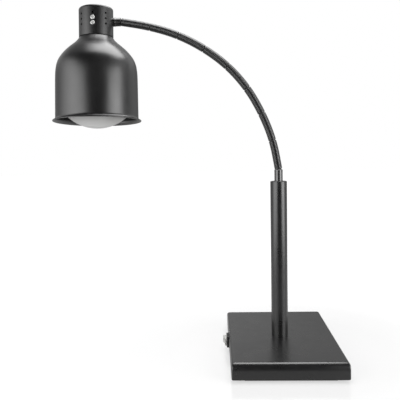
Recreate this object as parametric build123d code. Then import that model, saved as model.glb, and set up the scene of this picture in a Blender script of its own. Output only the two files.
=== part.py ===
from build123d import *
import math
import os

# Flexible food heat lamp: a weighted sheet-steel base, a tube post, a ribbed
# neck that bends and stays, and a spun shade over a reflector heat bulb.
# Millimetres, +Z up. The origin is the centre of the base on the surface that
# the lamp stands on. The head hangs over -X and the serving side is -Y.

# Base cover, a folded steel tray that is open below
BASE_WIDTH = 205.0
BASE_DEPTH = 305.0
BASE_HEIGHT = 30.0
FOOT_HEIGHT = 4.0          # surface to the cover's lower edge
SHEET = 1.5
TOP_BEND = 6.3             # outer radius of the upper bends
RETURN_BEND = 2.3          # outer radius of the lower return bends
CORNER_R = 2.5             # outer radius of the upright corners
RETURN_FLANGE = 23.5       # width of the return flange under the cover
PLATE_SHEET = 1.0          # bottom plate
PLATE_INSET = 3.0
PLATE_SCREW_R = 1.5
PLATE_SCREW_HEAD_R = 2.6   # countersunk, flush with the plate
PLATE_NUT_H = 2.5
PLATE_SCREW_ROWS = (-1, 0, 1)      # along each long side
PLATE_SCREW_PITCH = 85.0

# Ballast
BALLAST_THICK = 10.0
BALLAST_CLEAR = 1.0        # plate's edge to the cover's inner bend
SWITCH_BAY = 38.5          # cover's left face to the plate
REAR_BAY = 46.0            # cover's rear face to the plate
BALLAST_STUD_R = 2.5
BALLAST_STUD_INSET = 14.0

# Feet and their screws
FOOT_R = 6.0
FOOT_INSET = 15.5          # foot axis in from the cover's outer faces
FOOT_CLEAR = 1.2           # bottom plate's notch round a foot
FOOT_RECESS = 0.9          # rubber left above the screw's head
FOOT_RECESS_R = 3.4        # recess round the screw's head
FOOT_SCREW_R = 1.5
FOOT_SCREW_HEAD_R = 2.9
CLINCH_NUT_R = 3.3
CLINCH_NUT_H = 3.2

# Post
POST_X = -2.0
POST_R = 16.0
POST_WALL = 1.5
POST_LENGTH = 301.5
POST_LIP = 2.5             # the top bush's visible lip
BUSH_DEPTH = 18.0
STEM_R = 10.0              # hollow threaded stem under the post
STEM_BORE = 5.0
STEM_NUT_AF = 30.0
STEM_NUT_H = 8.0
STEM_WASHER = 2.0

# Neck: straight ribbed spans on ball knuckles, bent as the neck stands
NECK_R = 7.4
NECK_VALLEY_R = 6.7
NECK_BORE = 3.25
RIB_PITCH = 2.55
RIB_SIDES = 16
SPAN = 55.9                # from one knuckle to the next
NECK_BENDS = (10.3, 11.0, 8.1, 11.3, 11.8, 9.2, 10.5, 7.2, 10.2)
KNUCKLE_R = 5.5
KNUCKLE_CLEAR = 0.3
BEND_LIMIT = 20.0          # most that one knuckle is ever bent from straight
FERRULE_R = 8.0
FERRULE_LENGTH = 22.0      # the part that shows above the post
FERRULE_SHAFT_R = 7.0
END_LENGTH = 16.1          # last knuckle to the cap's wall
END_SLEEVE_R = 8.0         # smooth sleeve at the neck's end
COLLAR_R = 8.4
COLLAR_LENGTH = 3.5
NIPPLE_R = 5.0
NIPPLE_END = 1.9           # how far the nipple passes its nut
ARM_NUT_AF = 13.0
ARM_NUT_H = 4.0
ARM_SEAT = 1.8             # outer saddle ring, beyond the cap's wall
ARM_SADDLE = 1.6           # inner saddle washer
TURN_CLEAR = 0.3           # between pieces that turn on each other

# Head, in its own frame: Z up the shade's axis from the rim's plane,
# X towards the neck
HEAD_TILT = 4.7            # the mouth looks this far towards -Y
ARM_RISE = 28.8            # neck's axis above the cap's lower edge
SHADE_SHEET = 1.2
RIM_BEAD_R = 1.6
RIM_R = 84.8
BODY_R = 78.8              # just above the flare
FLARE_HEIGHT = 7.5
FLARE_BEND = 5.0
SHOULDER_R = 78.0
SHOULDER_HEIGHT = 86.0
SHOULDER_ARC = 72.0
COLLAR_START_R = 41.0      # where the dome's arc turns into the short cone
CONE_RISE = 12.0           # the short cone between the dome and the spigot
SPIGOT_HEIGHT = 8.2
SPIGOT_FIT = 0.1           # spigot in the cap, and the cap's edge over the cone
CAP_R = 32.7
CAP_SHEET = 1.2
CAP_HEIGHT = 55.2
CAP_EDGE_R = 4.0
VENT_R = 2.0
VENT_COLUMNS = 8           # the column at the neck is left out
VENT_ROWS = (20.1, 30.0, 39.9)     # above the cap's lower edge
BRACKET_COLUMN = 6         # its two lower holes carry the bracket's screws

# Lampholder
HOLDER_R = 20.5
HOLDER_HOLE_CLEAR = 0.5    # lampholder in the shade's hole
HOLDER_SHOULDER = 2.5      # shoulder beyond the body
HOLDER_SHOULDER_H = 14.5
HOLDER_NECK_H = 12.5       # narrow top above the shoulder
HOLDER_TOP_R = 14.0
HOLDER_SKIRT = 2.5         # bulb cap's length that shows below the mouth
HOLDER_BORE_RISE = 7.0     # end of the bore above the shade's flange
SHELL_WALL = 0.5
SHELL_CLEAR = 0.6          # bulb's cap in the shell
RING_CLEAR = 1.5           # ring nut in the spigot
RING_HEIGHT = 6.0
BRACKET_SHEET = 1.5
BRACKET_WIDTH = 16.0
CAP_SCREW_R = 2.0
CAP_SCREW_HEAD_R = 4.0
CAP_SCREW_HEAD_H = 2.4

# Reflector bulb
BULB_LENGTH = 183.5
BULB_R = 62.5
BULB_DOME = 84.0           # radius of the frosted face
BULB_EDGE_RISE = 35.0      # widest circle above the lowest point
BULB_GLASS = 1.0
BULB_NECK_R = 17.0
BULB_NECK_LENGTH = 10.0
BULB_CAP_R = 13.1
BULB_CAP_LENGTH = 21.0
BULB_TIP_LENGTH = 7.0      # insulator and contact beyond the cap
BULB_TIP_GAP = 5.0         # contact to the end of the bore

# Switch, gland and terminals
SWITCH_Y = 10.0
SWITCH_FRAME = (28.0, 22.0)
SWITCH_FRAME_H = 4.7
SWITCH_BODY = (24.0, 18.5)
SWITCH_DEPTH = 20.0
SWITCH_WELL = (22.4, 15.6)
SWITCH_WELL_DEPTH = 9.0
ROCKER_LENGTH = 21.0
ROCKER_WIDTH = 15.0
ROCKER_HEIGHT = 8.0        # pivot to the ends of the face
ROCKER_DIP = 2.0           # how far the middle of the face lies lower
ROCKER_THROW = 18.0
ROCKER_PIVOT = 2.2         # pivot outside the cover's wall
PIN_R = 1.5
GLAND_X = -60.0
GLAND_R = 8.0
GLAND_BORE = 4.0
GLAND_AF = 20.0
TERMINAL_SIZE = (34.0, 16.0, 13.0)
TERMINAL_X = 20.0
TERMINAL_PITCH = 11.0
EARTH_X = -20.0
LEAD_R = 1.2               # single insulated core
CABLE_R = 2.6              # sheathed cable in the post and the neck
CABLE_BEND = 8.0

# Derived places
COVER_BOTTOM = FOOT_HEIGHT
COVER_TOP = COVER_BOTTOM + BASE_HEIGHT
UNDER_TOP = COVER_TOP - SHEET
MID_Z = COVER_BOTTOM + BASE_HEIGHT / 2
LEFT, RIGHT = -BASE_WIDTH / 2, BASE_WIDTH / 2
FRONT, REAR = -BASE_DEPTH / 2, BASE_DEPTH / 2
GLAND_Z = (COVER_BOTTOM + RETURN_BEND + COVER_TOP - TOP_BEND) / 2
BALLAST_BOTTOM = UNDER_TOP - BALLAST_THICK
BALLAST_X0, BALLAST_X1 = LEFT + SWITCH_BAY, RIGHT - TOP_BEND - BALLAST_CLEAR
BALLAST_Y0, BALLAST_Y1 = FRONT + TOP_BEND + BALLAST_CLEAR, REAR - REAR_BAY
TERMINAL_Y = REAR - RETURN_FLANGE - TERMINAL_SIZE[1] / 2 - 2.5
EARTH_Y = (BALLAST_Y1 + REAR) / 2
STEM_BOTTOM = BALLAST_BOTTOM - STEM_WASHER - STEM_NUT_H - 2.0
POST_TOP = COVER_TOP + POST_LENGTH
BUSH_TOP = POST_TOP + POST_LIP
HOLDER_TOP_PLACES = (-5.0, 5.0)        # its two screws
DOME_TOP = SHOULDER_HEIGHT + math.sqrt(
    SHOULDER_ARC ** 2 - (COLLAR_START_R - SHOULDER_R + SHOULDER_ARC) ** 2)
SPIGOT_R = CAP_R - CAP_SHEET - SPIGOT_FIT
SPIGOT_BASE = DOME_TOP + CONE_RISE
SPIGOT_TOP = SPIGOT_BASE + SPIGOT_HEIGHT
CAP_BASE = SPIGOT_BASE + SPIGOT_FIT
CAP_TOP = CAP_BASE + CAP_HEIGHT
ARM_HEIGHT = CAP_BASE + ARM_RISE
VENT_HEIGHTS = [CAP_BASE + rise for rise in VENT_ROWS]
SADDLE_FACE = CAP_R - CAP_SHEET - ARM_SADDLE       # inner washer's flat face
HOLDER_BORE_TOP = SPIGOT_TOP + HOLDER_BORE_RISE
BULB_TIP = HOLDER_BORE_TOP - BULB_TIP_GAP
BULB_CAP_TOP = BULB_TIP - BULB_TIP_LENGTH
BULB_CAP_BASE = BULB_CAP_TOP - BULB_CAP_LENGTH
BULB_BOTTOM = BULB_TIP - BULB_LENGTH
HOLDER_MOUTH = BULB_CAP_BASE + HOLDER_SKIRT
HOLDER_SHOULDER_TOP = SPIGOT_TOP + HOLDER_SHOULDER_H
HOLDER_TOP = HOLDER_SHOULDER_TOP + HOLDER_NECK_H
HOLDER_BORE = BULB_CAP_R + SHELL_CLEAR + SHELL_WALL
NECK_GAP = NECK_R * math.tan(math.radians(BEND_LIMIT / 2)) + 0.2
END_GAP = END_SLEEVE_R * math.tan(math.radians(BEND_LIMIT / 2)) + 0.2
FIRST_KNUCKLE = Vector(POST_X, 0, BUSH_TOP + TURN_CLEAR + FERRULE_LENGTH + NECK_GAP)
FOOT_PLACES = [(sx * (RIGHT - FOOT_INSET), sy * (REAR - FOOT_INSET))
               for sx in (-1, 1) for sy in (-1, 1)]
PLATE_SCREW_PLACES = [(sx * (RIGHT - RETURN_FLANGE / 2 - 1.0), row * PLATE_SCREW_PITCH)
                      for sx in (-1, 1) for row in PLATE_SCREW_ROWS]
STUD_PLACES = [(x, y)
               for x in (BALLAST_X0 + BALLAST_STUD_INSET, BALLAST_X1 - BALLAST_STUD_INSET)
               for y in (BALLAST_Y0 + BALLAST_STUD_INSET, BALLAST_Y1 - BALLAST_STUD_INSET)]


def neck_direction(lean):
    """Unit vector that leans from +Z towards -X by an angle in degrees."""
    return Vector(-math.sin(math.radians(lean)), 0, math.cos(math.radians(lean)))


def neck_chain():
    """Knuckle centres and the direction of the piece above each of them."""
    centres, directions, lean, point = [], [], 0.0, FIRST_KNUCKLE
    for bend in NECK_BENDS:
        lean += bend
        centres.append(point)
        directions.append(neck_direction(lean))
        point = point + directions[-1] * SPAN
    return centres, directions


KNUCKLES, DIRECTIONS = neck_chain()
ARM_DIRECTION = DIRECTIONS[-1]
ARM_POINT = KNUCKLES[-1] + ARM_DIRECTION * END_LENGTH      # on the cap's wall


def head_frame():
    """Plane at the rim: Z up the shade's axis, X towards the neck."""
    toward_neck = -ARM_DIRECTION
    upright = Vector(0, 1, 0).cross(toward_neck) * -1
    tilt = math.radians(HEAD_TILT)
    axis = upright * math.cos(tilt) + Vector(0, 1, 0) * math.sin(tilt)
    origin = ARM_POINT - toward_neck * CAP_R - axis * ARM_HEIGHT
    return Plane(origin=origin, x_dir=toward_neck, z_dir=axis)


HEAD = head_frame()


# Small helpers
def rod(radius, z0, z1, x=0.0, y=0.0):
    """Upright cylinder between two heights."""
    return Pos(x, y, (z0 + z1) / 2) * Cylinder(radius, z1 - z0)


def tube(radius, bore, z0, z1, x=0.0, y=0.0):
    """Upright cylinder with a bore right through it."""
    return rod(radius, z0, z1, x, y) - rod(bore, z0 - 1, z1 + 1, x, y)


def hex_nut(across, bore, z0, z1, x=0.0, y=0.0):
    """Upright hexagon nut with its corners turned off."""
    corner = across / math.sqrt(3)
    body = extrude(Pos(x, y, z0) * RegularPolygon(corner, 6), z1 - z0)
    turned = chamfer(rod(corner, z0, z1, x, y).edges().filter_by(GeomType.CIRCLE),
                     (corner - across / 2) * 0.8)
    return (body & turned) - rod(bore, z0 - 1, z1 + 1, x, y)


def between(x0, x1, y0, y1, z0, z1):
    """Box from its six faces."""
    return Pos((x0 + x1) / 2, (y0 + y1) / 2, (z0 + z1) / 2) * Box(x1 - x0, y1 - y0, z1 - z0)


def revolved(outline):
    """Turn a closed outline in (radius, height) about Z."""
    return revolve(Plane.XZ * make_face(outline), Axis.Z)


def in_head(shape):
    """Place a piece drawn in the head's frame."""
    return HEAD.location * shape


def along(origin, direction):
    """Location whose Z runs from origin along direction, in the neck's plane."""
    return Plane(origin=origin, x_dir=(0, 1, 0), z_dir=direction).location


def pan_screw(shank_r, head_r, head_h, length):
    """Pan-head screw: shank down -Z from the seat at Z 0, with a hexagon socket."""
    head = rod(head_r, 0, head_h)
    head = fillet(head.edges().group_by(Axis.Z)[-1], head_h * 0.6)
    socket = extrude(Pos(0, 0, head_h) * RegularPolygon(head_r * 0.42, 6), -head_h * 0.6)
    return head - socket + rod(shank_r, -length, 0.01)


# Base
def tray(inset):
    """Solid inside the cover's outer skin, moved inwards; corners are mitred."""
    def run(size, across, plane):
        bottom, top = COVER_BOTTOM + inset, COVER_TOP - inset
        section = Pos(0, (bottom + top) / 2) * Rectangle(size - 2 * inset, top - bottom)
        section = fillet(section.vertices().sort_by(Axis.Y)[-2:], TOP_BEND - inset)
        section = fillet(section.vertices().sort_by(Axis.Y)[:2], RETURN_BEND - inset)
        return extrude(plane * section, (across / 2 - inset), both=True)
    corners = RectangleRounded(BASE_WIDTH - 2 * inset, BASE_DEPTH - 2 * inset, CORNER_R - inset)
    return (run(BASE_WIDTH, BASE_DEPTH, Plane.XZ) & run(BASE_DEPTH, BASE_WIDTH, Plane.YZ) &
            extrude(corners, COVER_TOP + 1))


def base_cover():
    cover = tray(0) - tray(SHEET)
    flange = RETURN_FLANGE
    cover -= between(LEFT + flange, RIGHT - flange, FRONT + flange, REAR - flange,
                     COVER_BOTTOM - 1, COVER_BOTTOM + SHEET + 1)
    cover -= rod(STEM_R + TURN_CLEAR, UNDER_TOP - 1, COVER_TOP + 1, POST_X)
    cover -= between(LEFT - 1, LEFT + SHEET + 1,
                     SWITCH_Y - SWITCH_BODY[0] / 2 - 0.2, SWITCH_Y + SWITCH_BODY[0] / 2 + 0.2,
                     MID_Z - SWITCH_BODY[1] / 2 - 0.2, MID_Z + SWITCH_BODY[1] / 2 + 0.2)
    cover -= Pos(GLAND_X, REAR, GLAND_Z) * Rot(90, 0, 0) * Cylinder(GLAND_R + 0.2, 4 * SHEET)
    for x, y in FOOT_PLACES:
        cover -= rod(FOOT_SCREW_R + 0.3, COVER_BOTTOM - 1, COVER_BOTTOM + SHEET + 1, x, y)
    for x, y in PLATE_SCREW_PLACES:
        cover -= rod(PLATE_SCREW_R + 0.3, COVER_BOTTOM - 1, COVER_BOTTOM + SHEET + 1, x, y)
    return cover


def countersunk(radius, head_r):
    """Countersunk head in the plate's thickness, at Z 0 downwards, with its shank above."""
    return Pos(0, 0, PLATE_SHEET / 2) * Cone(head_r, radius, PLATE_SHEET)


def bottom_plate():
    """Plate under the cover, notched round the feet, with countersunk holes."""
    low, high = COVER_BOTTOM - PLATE_SHEET, COVER_BOTTOM
    plate = between(LEFT + PLATE_INSET, RIGHT - PLATE_INSET, FRONT + PLATE_INSET,
                    REAR - PLATE_INSET, low, high)
    notch = FOOT_R + FOOT_CLEAR
    for x, y in FOOT_PLACES:
        sx, sy = math.copysign(1, x), math.copysign(1, y)
        for near_x, near_y in ((x - sx * notch, y), (x, y - sy * notch)):
            xs, ys = sorted((near_x, sx * BASE_WIDTH)), sorted((near_y, sy * BASE_DEPTH))
            plate -= between(*xs, *ys, low - 1, high + 1)
        plate -= rod(notch, low - 1, high + 1, x, y)
    for x, y in PLATE_SCREW_PLACES:
        plate -= Pos(x, y, low) * countersunk(PLATE_SCREW_R, PLATE_SCREW_HEAD_R)
    return plate


def plate_screws():
    """Flush screws, with a cross slot, that hold the bottom plate."""
    low, top = COVER_BOTTOM - PLATE_SHEET, COVER_BOTTOM + SHEET + PLATE_NUT_H + 0.5
    screw = countersunk(PLATE_SCREW_R, PLATE_SCREW_HEAD_R)
    screw += rod(PLATE_SCREW_R, PLATE_SHEET - 0.01, top - low)
    for length, width in ((3.4, 0.7), (0.7, 3.4)):
        screw -= Box(length, width, 1.2)
    return [Pos(x, y, low) * screw for x, y in PLATE_SCREW_PLACES]


def plate_nuts():
    """Clinch nuts on the return flange for the plate's screws."""
    z0 = COVER_BOTTOM + SHEET
    return [tube(3.2, PLATE_SCREW_R, z0, z0 + PLATE_NUT_H, x, y) for x, y in PLATE_SCREW_PLACES]


def feet():
    """Rubber feet on the cover's return flange."""
    top = COVER_BOTTOM
    group = []
    for x, y in FOOT_PLACES:
        foot = Pos(x, y, top / 2) * Cone(FOOT_R - 1.0, FOOT_R, top)
        foot = fillet(foot.edges().group_by(Axis.Z)[0], 0.5)
        foot -= rod(FOOT_SCREW_R + 0.2, -1, top + 1, x, y)
        foot -= rod(FOOT_RECESS_R, -1, top - FOOT_RECESS, x, y)
        group.append(foot)
    return group


def foot_screws():
    seat = COVER_BOTTOM - FOOT_RECESS
    length = COVER_BOTTOM + SHEET + CLINCH_NUT_H + 1.0 - seat
    return [Pos(x, y, seat) * Rot(180, 0, 0) * pan_screw(FOOT_SCREW_R, FOOT_SCREW_HEAD_R, 1.6, length)
            for x, y in FOOT_PLACES]


def clinch_nuts():
    z0 = COVER_BOTTOM + SHEET
    return [tube(CLINCH_NUT_R, FOOT_SCREW_R, z0, z0 + CLINCH_NUT_H, x, y) for x, y in FOOT_PLACES]


def ballast_plate():
    plate = between(BALLAST_X0, BALLAST_X1, BALLAST_Y0, BALLAST_Y1, BALLAST_BOTTOM, UNDER_TOP)
    plate = fillet(plate.edges().filter_by(Axis.Z), 5.0)
    plate -= rod(STEM_R + 0.5, BALLAST_BOTTOM - 1, COVER_TOP, POST_X)
    for x, y in STUD_PLACES:
        plate -= rod(BALLAST_STUD_R + 0.25, BALLAST_BOTTOM - 1, COVER_TOP, x, y)
    return plate


def ballast_studs():
    return [rod(BALLAST_STUD_R, BALLAST_BOTTOM - 6.0, UNDER_TOP, x, y) for x, y in STUD_PLACES]


def ballast_nuts():
    return [hex_nut(8.0, BALLAST_STUD_R, BALLAST_BOTTOM - 4.0, BALLAST_BOTTOM, x, y)
            for x, y in STUD_PLACES]


# Post
def post_tube():
    return tube(POST_R, POST_R - POST_WALL, COVER_TOP, POST_TOP, POST_X)


def post_stem():
    """Plug pressed into the tube, with the hollow threaded stem below it."""
    plug = rod(POST_R - POST_WALL, COVER_TOP, COVER_TOP + 20.0, POST_X)
    plug = chamfer(plug.edges().group_by(Axis.Z)[-1], 1.0)
    stem = rod(STEM_R, STEM_BOTTOM, COVER_TOP + 0.01, POST_X)
    stem = chamfer(stem.edges().group_by(Axis.Z)[0], 1.0)
    return plug + stem - rod(STEM_BORE, STEM_BOTTOM - 1, COVER_TOP + 21.0, POST_X)


def stem_washer():
    return tube(POST_R + 2.0, STEM_R + 0.3, BALLAST_BOTTOM - STEM_WASHER, BALLAST_BOTTOM, POST_X)


def stem_nut():
    top = BALLAST_BOTTOM - STEM_WASHER
    return hex_nut(STEM_NUT_AF, STEM_R, top - STEM_NUT_H, top, POST_X)


def post_bush():
    """Turned bush in the post's top; the ferrule turns in it."""
    lip = rod(POST_R, POST_TOP, BUSH_TOP, POST_X)
    lip = fillet(lip.edges().group_by(Axis.Z)[-1], POST_LIP * 0.6)
    plug = rod(POST_R - POST_WALL, POST_TOP - BUSH_DEPTH, POST_TOP + 0.01, POST_X)
    return lip + plug - rod(FERRULE_SHAFT_R + TURN_CLEAR, POST_TOP - BUSH_DEPTH - 1,
                            BUSH_TOP + 1, POST_X)


# Neck
def neck_ferrule():
    """Smooth end piece: shaft in the bush, shoulder on it, socket at the top."""
    seat = BUSH_TOP + TURN_CLEAR
    top = seat + FERRULE_LENGTH
    shaft_end = POST_TOP - BUSH_DEPTH - 6.0
    body = rod(FERRULE_R, seat, top, POST_X)
    body = chamfer(body.edges().group_by(Axis.Z)[-1], 0.5)
    body += rod(FERRULE_SHAFT_R, shaft_end, seat + 0.01, POST_X)
    body -= rod(NECK_BORE, shaft_end - 1, top + 1, POST_X)
    return body - Pos(FIRST_KNUCKLE) * Sphere(KNUCKLE_R + KNUCKLE_CLEAR)


def ferrule_clip():
    """Ring on the shaft, under the bush, that keeps the neck from lifting out."""
    top = POST_TOP - BUSH_DEPTH - TURN_CLEAR
    return tube(FERRULE_SHAFT_R + 3.5, FERRULE_SHAFT_R, top - 2.0, top, POST_X)


def neck_span(index):
    """One ribbed span: ball below, socket above, cable bore right through."""
    length = SPAN - 2 * NECK_GAP
    ribs = round(length / RIB_PITCH)
    step = length / (2 * ribs)
    rings = [Pos(0, 0, NECK_GAP + k * step) *
             RegularPolygon(NECK_R if k % 2 else NECK_VALLEY_R, RIB_SIDES)
             for k in range(2 * ribs + 1)]
    span = loft(rings, ruled=True) + Sphere(KNUCKLE_R)
    span -= Pos(0, 0, SPAN) * Sphere(KNUCKLE_R + KNUCKLE_CLEAR)
    span -= rod(NECK_BORE, -KNUCKLE_R - 1, SPAN)
    return along(KNUCKLES[index], DIRECTIONS[index]) * span


def neck_end():
    """Smooth end sleeve with its collar and the nipple that enters the cap."""
    collar_top = END_LENGTH - ARM_SEAT - TURN_CLEAR
    sleeve = rod(END_SLEEVE_R, END_GAP, collar_top) + Sphere(KNUCKLE_R)
    collar = rod(COLLAR_R, collar_top - COLLAR_LENGTH, collar_top)
    collar = chamfer(collar.edges().filter_by(GeomType.CIRCLE), 0.4)
    nipple_end = arm_nut_start() + ARM_NUT_H + NIPPLE_END
    piece = sleeve + collar + rod(NIPPLE_R, collar_top - 0.01, nipple_end)
    piece -= rod(NECK_BORE, -KNUCKLE_R - 1, nipple_end + 1)
    return along(KNUCKLES[-1], ARM_DIRECTION) * piece


def arm_nut_start():
    """Distance from the last knuckle to the nut's face, inside the cap."""
    return END_LENGTH + CAP_R - SADDLE_FACE + TURN_CLEAR


def arm_nut():
    """Nut on the nipple, inside the cap."""
    start = arm_nut_start()
    return along(KNUCKLES[-1], ARM_DIRECTION) * hex_nut(ARM_NUT_AF, NIPPLE_R, start,
                                                        start + ARM_NUT_H)


# Head
def arm_rod(radius, x0, x1):
    """Rod along the head's X at the height of the neck's hole."""
    return Pos((x0 + x1) / 2, 0, ARM_HEIGHT) * Rot(0, 90, 0) * Cylinder(radius, x1 - x0)


def arm_seat():
    """Outer saddle ring between the cap's round wall and the neck's flat collar."""
    ring = arm_rod(COLLAR_R, CAP_R - 3, CAP_R + ARM_SEAT) - rod(CAP_R, CAP_BASE, CAP_TOP)
    return in_head(ring - arm_rod(NIPPLE_R + TURN_CLEAR, 0, CAP_R + 5))


def arm_saddle():
    """Inner saddle washer between the cap's wall and the nut."""
    ring = arm_rod(COLLAR_R, SADDLE_FACE, CAP_R) & rod(CAP_R - CAP_SHEET, CAP_BASE, CAP_TOP)
    return in_head(ring - arm_rod(NIPPLE_R + TURN_CLEAR, 0, CAP_R + 5))


def shade_core(inset):
    """Solid inside the shade's outer skin, moved inwards by inset."""
    centre = SHOULDER_R - SHOULDER_ARC
    arc_r = SHOULDER_ARC - inset
    start_r = COLLAR_START_R - inset
    start_h = SHOULDER_HEIGHT + math.sqrt(arc_r ** 2 - (start_r - centre) ** 2)
    mid_angle = math.acos((start_r - centre) / arc_r) / 2
    middle = (centre + arc_r * math.cos(mid_angle), SHOULDER_HEIGHT + arc_r * math.sin(mid_angle))
    low = RIM_BEAD_R - inset
    flare = (BODY_R - inset, FLARE_HEIGHT)
    shoulder = (SHOULDER_R - inset, SHOULDER_HEIGHT)
    spigot = SPIGOT_R - inset
    outline = [
        Line((0, low), (RIM_R - RIM_BEAD_R - inset, low)),
        Line((RIM_R - RIM_BEAD_R - inset, low), flare),
        Line(flare, shoulder),
        ThreePointArc(shoulder, middle, (start_r, start_h)),
        Line((start_r, start_h), (spigot, SPIGOT_BASE - inset)),
        Line((spigot, SPIGOT_BASE - inset), (spigot, SPIGOT_TOP - inset)),
        Line((spigot, SPIGOT_TOP - inset), (0, SPIGOT_TOP - inset)),
        Line((0, SPIGOT_TOP - inset), (0, low)),
    ]
    face = make_face(outline)
    corner = face.vertices().sort_by_distance((*flare, 0))[0]
    return revolve(Plane.XZ * fillet(corner, FLARE_BEND), Axis.Z)


def shade():
    wall = shade_core(0) - shade_core(SHADE_SHEET)
    bead = revolve(Plane.XZ * (Pos(RIM_R - RIM_BEAD_R, RIM_BEAD_R) * Circle(RIM_BEAD_R)), Axis.Z)
    return in_head(wall + bead - rod(HOLDER_R + HOLDER_HOLE_CLEAR, SPIGOT_TOP - 5, SPIGOT_TOP + 1))


def vent_places():
    """Angle in degrees and height of every hole in the cap's wall."""
    return [(360.0 / VENT_COLUMNS * k, h) for k in range(1, VENT_COLUMNS)
            for h in VENT_HEIGHTS]


def cap():
    outer = rod(CAP_R, CAP_BASE, CAP_TOP)
    outer = fillet(outer.edges().group_by(Axis.Z)[-1], CAP_EDGE_R)
    inner = rod(CAP_R - CAP_SHEET, CAP_BASE - 1, CAP_TOP - CAP_SHEET)
    inner = fillet(inner.edges().group_by(Axis.Z)[-1], CAP_EDGE_R - CAP_SHEET)
    shell = outer - inner
    for angle, height in vent_places():
        shell -= Rot(0, 0, angle) * Pos(CAP_R, 0, height) * Rot(0, 90, 0) * Cylinder(VENT_R, 6)
    return in_head(shell - arm_rod(NIPPLE_R + TURN_CLEAR, 0, CAP_R + 5))


def cap_screws():
    """The two bright screws that hold the lampholder's bracket."""
    screw = pan_screw(CAP_SCREW_R - 0.1, CAP_SCREW_HEAD_R, CAP_SCREW_HEAD_H, 7.0)
    return [in_head(Rot(0, 0, 360.0 / VENT_COLUMNS * BRACKET_COLUMN) * Pos(CAP_R, 0, h) *
                    Rot(0, 90, 0) * screw) for h in VENT_HEIGHTS[:2]]


def bracket_y():
    """Outer face of the bracket's flat leg, inside the round cap."""
    inner = CAP_R - CAP_SHEET
    return -math.sqrt(inner ** 2 - (BRACKET_WIDTH / 2) ** 2) + 0.05


def holder_bracket():
    """Angle strap: one leg on the lampholder, one against the cap's wall."""
    half = BRACKET_WIDTH / 2
    face = bracket_y()
    top = HOLDER_TOP + BRACKET_SHEET
    strap = between(-half, half, face, half + 2, HOLDER_TOP, top)
    strap += between(-half, half, face, face + BRACKET_SHEET, VENT_HEIGHTS[0] - 6, top)
    corner = strap.edges().filter_by(Axis.X).sort_by_distance((0, face, top))[0]
    strap = fillet(corner, BRACKET_SHEET)
    for height in VENT_HEIGHTS[:2]:
        strap -= Pos(0, face, height) * Rot(90, 0, 0) * Cylinder(CAP_SCREW_R, 6)
    for x in HOLDER_TOP_PLACES:
        strap -= rod(1.7, HOLDER_TOP - 1, top + 1, x)
    return in_head(strap)


def bracket_nuts():
    face = bracket_y() + BRACKET_SHEET
    nut = hex_nut(7.0, CAP_SCREW_R - 0.1, 0, 3.0)
    return [in_head(Pos(0, face, h) * Rot(-90, 0, 0) * nut) for h in VENT_HEIGHTS[:2]]


def lampholder():
    """Ceramic body: mouth below, shoulder on the shade, two screw holes on top."""
    body = rod(HOLDER_R, HOLDER_MOUTH, SPIGOT_TOP + 0.01)
    body = fillet(body.edges().group_by(Axis.Z)[0], 2.0)
    shoulder = rod(HOLDER_R + HOLDER_SHOULDER, SPIGOT_TOP, HOLDER_SHOULDER_TOP)
    shoulder = fillet(shoulder.edges().group_by(Axis.Z)[-1], 2.0)
    body += shoulder + rod(HOLDER_TOP_R, HOLDER_SHOULDER_TOP - 0.01, HOLDER_TOP)
    body -= rod(HOLDER_BORE, HOLDER_MOUTH - 1, HOLDER_BORE_TOP)
    for x in HOLDER_TOP_PLACES:
        body -= rod(1.5, HOLDER_TOP - 10, HOLDER_TOP + 1, x)
    return in_head(body)


def holder_shell():
    return in_head(tube(HOLDER_BORE, HOLDER_BORE - SHELL_WALL, HOLDER_MOUTH + 3,
                        BULB_CAP_TOP + 4))


def holder_contact():
    strip = between(-3, 3, -9, 9, HOLDER_BORE_TOP - 0.8, HOLDER_BORE_TOP)
    return in_head(strip + rod(2.5, BULB_TIP + 0.2, HOLDER_BORE_TOP - 0.5))


def holder_screws():
    seat = HOLDER_TOP + BRACKET_SHEET
    return [in_head(Pos(x, 0, seat) * pan_screw(1.5, 2.8, 1.8, 10.0))
            for x in HOLDER_TOP_PLACES]


def shade_ring():
    """Ring nut on the lampholder that clamps the shade's top flange."""
    top = SPIGOT_TOP - SHADE_SHEET
    ring = tube(SPIGOT_R - SHADE_SHEET - RING_CLEAR, HOLDER_R, top - RING_HEIGHT, top)
    return in_head(chamfer(ring.edges().group_by(Axis.Z)[0].sort_by(SortBy.LENGTH)[-1], 1.0))


# Bulb
def bulb_core(inset):
    """Solid inside the bulb's glass, moved inwards by inset."""
    dome = BULB_DOME - inset
    centre = BULB_BOTTOM + BULB_DOME
    face_r = BULB_R - 6.0
    face_h = centre - math.sqrt(dome ** 2 - face_r ** 2)
    mid_r = face_r / 2
    edge = BULB_BOTTOM + BULB_EDGE_RISE
    rise = BULB_CAP_BASE - BULB_NECK_LENGTH - edge
    wide = (BULB_R - inset, edge)
    neck = (BULB_NECK_R - inset, edge + rise)
    stub = (BULB_CAP_R - 1.0 - inset, BULB_CAP_BASE - 0.3)
    slope = (math.sqrt(dome ** 2 - face_r ** 2), face_r)
    outline = [
        ThreePointArc((0, centre - dome), (mid_r, centre - math.sqrt(dome ** 2 - mid_r ** 2)),
                      (face_r, face_h)),
        Spline((face_r, face_h), wide, tangents=[slope, (0, 1)]),
        Spline(wide, (BULB_R * 0.86 - inset, edge + rise * 0.381),
               (BULB_R * 0.52 - inset, edge + rise * 0.714), neck,
               tangents=[(0, 1), (-0.25, 1)]),
        Line(neck, stub),
        Line(stub, (stub[0], BULB_CAP_BASE + 3.0)),
        Line((stub[0], BULB_CAP_BASE + 3.0), (0, BULB_CAP_BASE + 3.0)),
        Line((0, BULB_CAP_BASE + 3.0), (0, centre - dome)),
    ]
    return revolved(outline)


def bulb_glass():
    return in_head(bulb_core(0) - bulb_core(BULB_GLASS))


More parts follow.
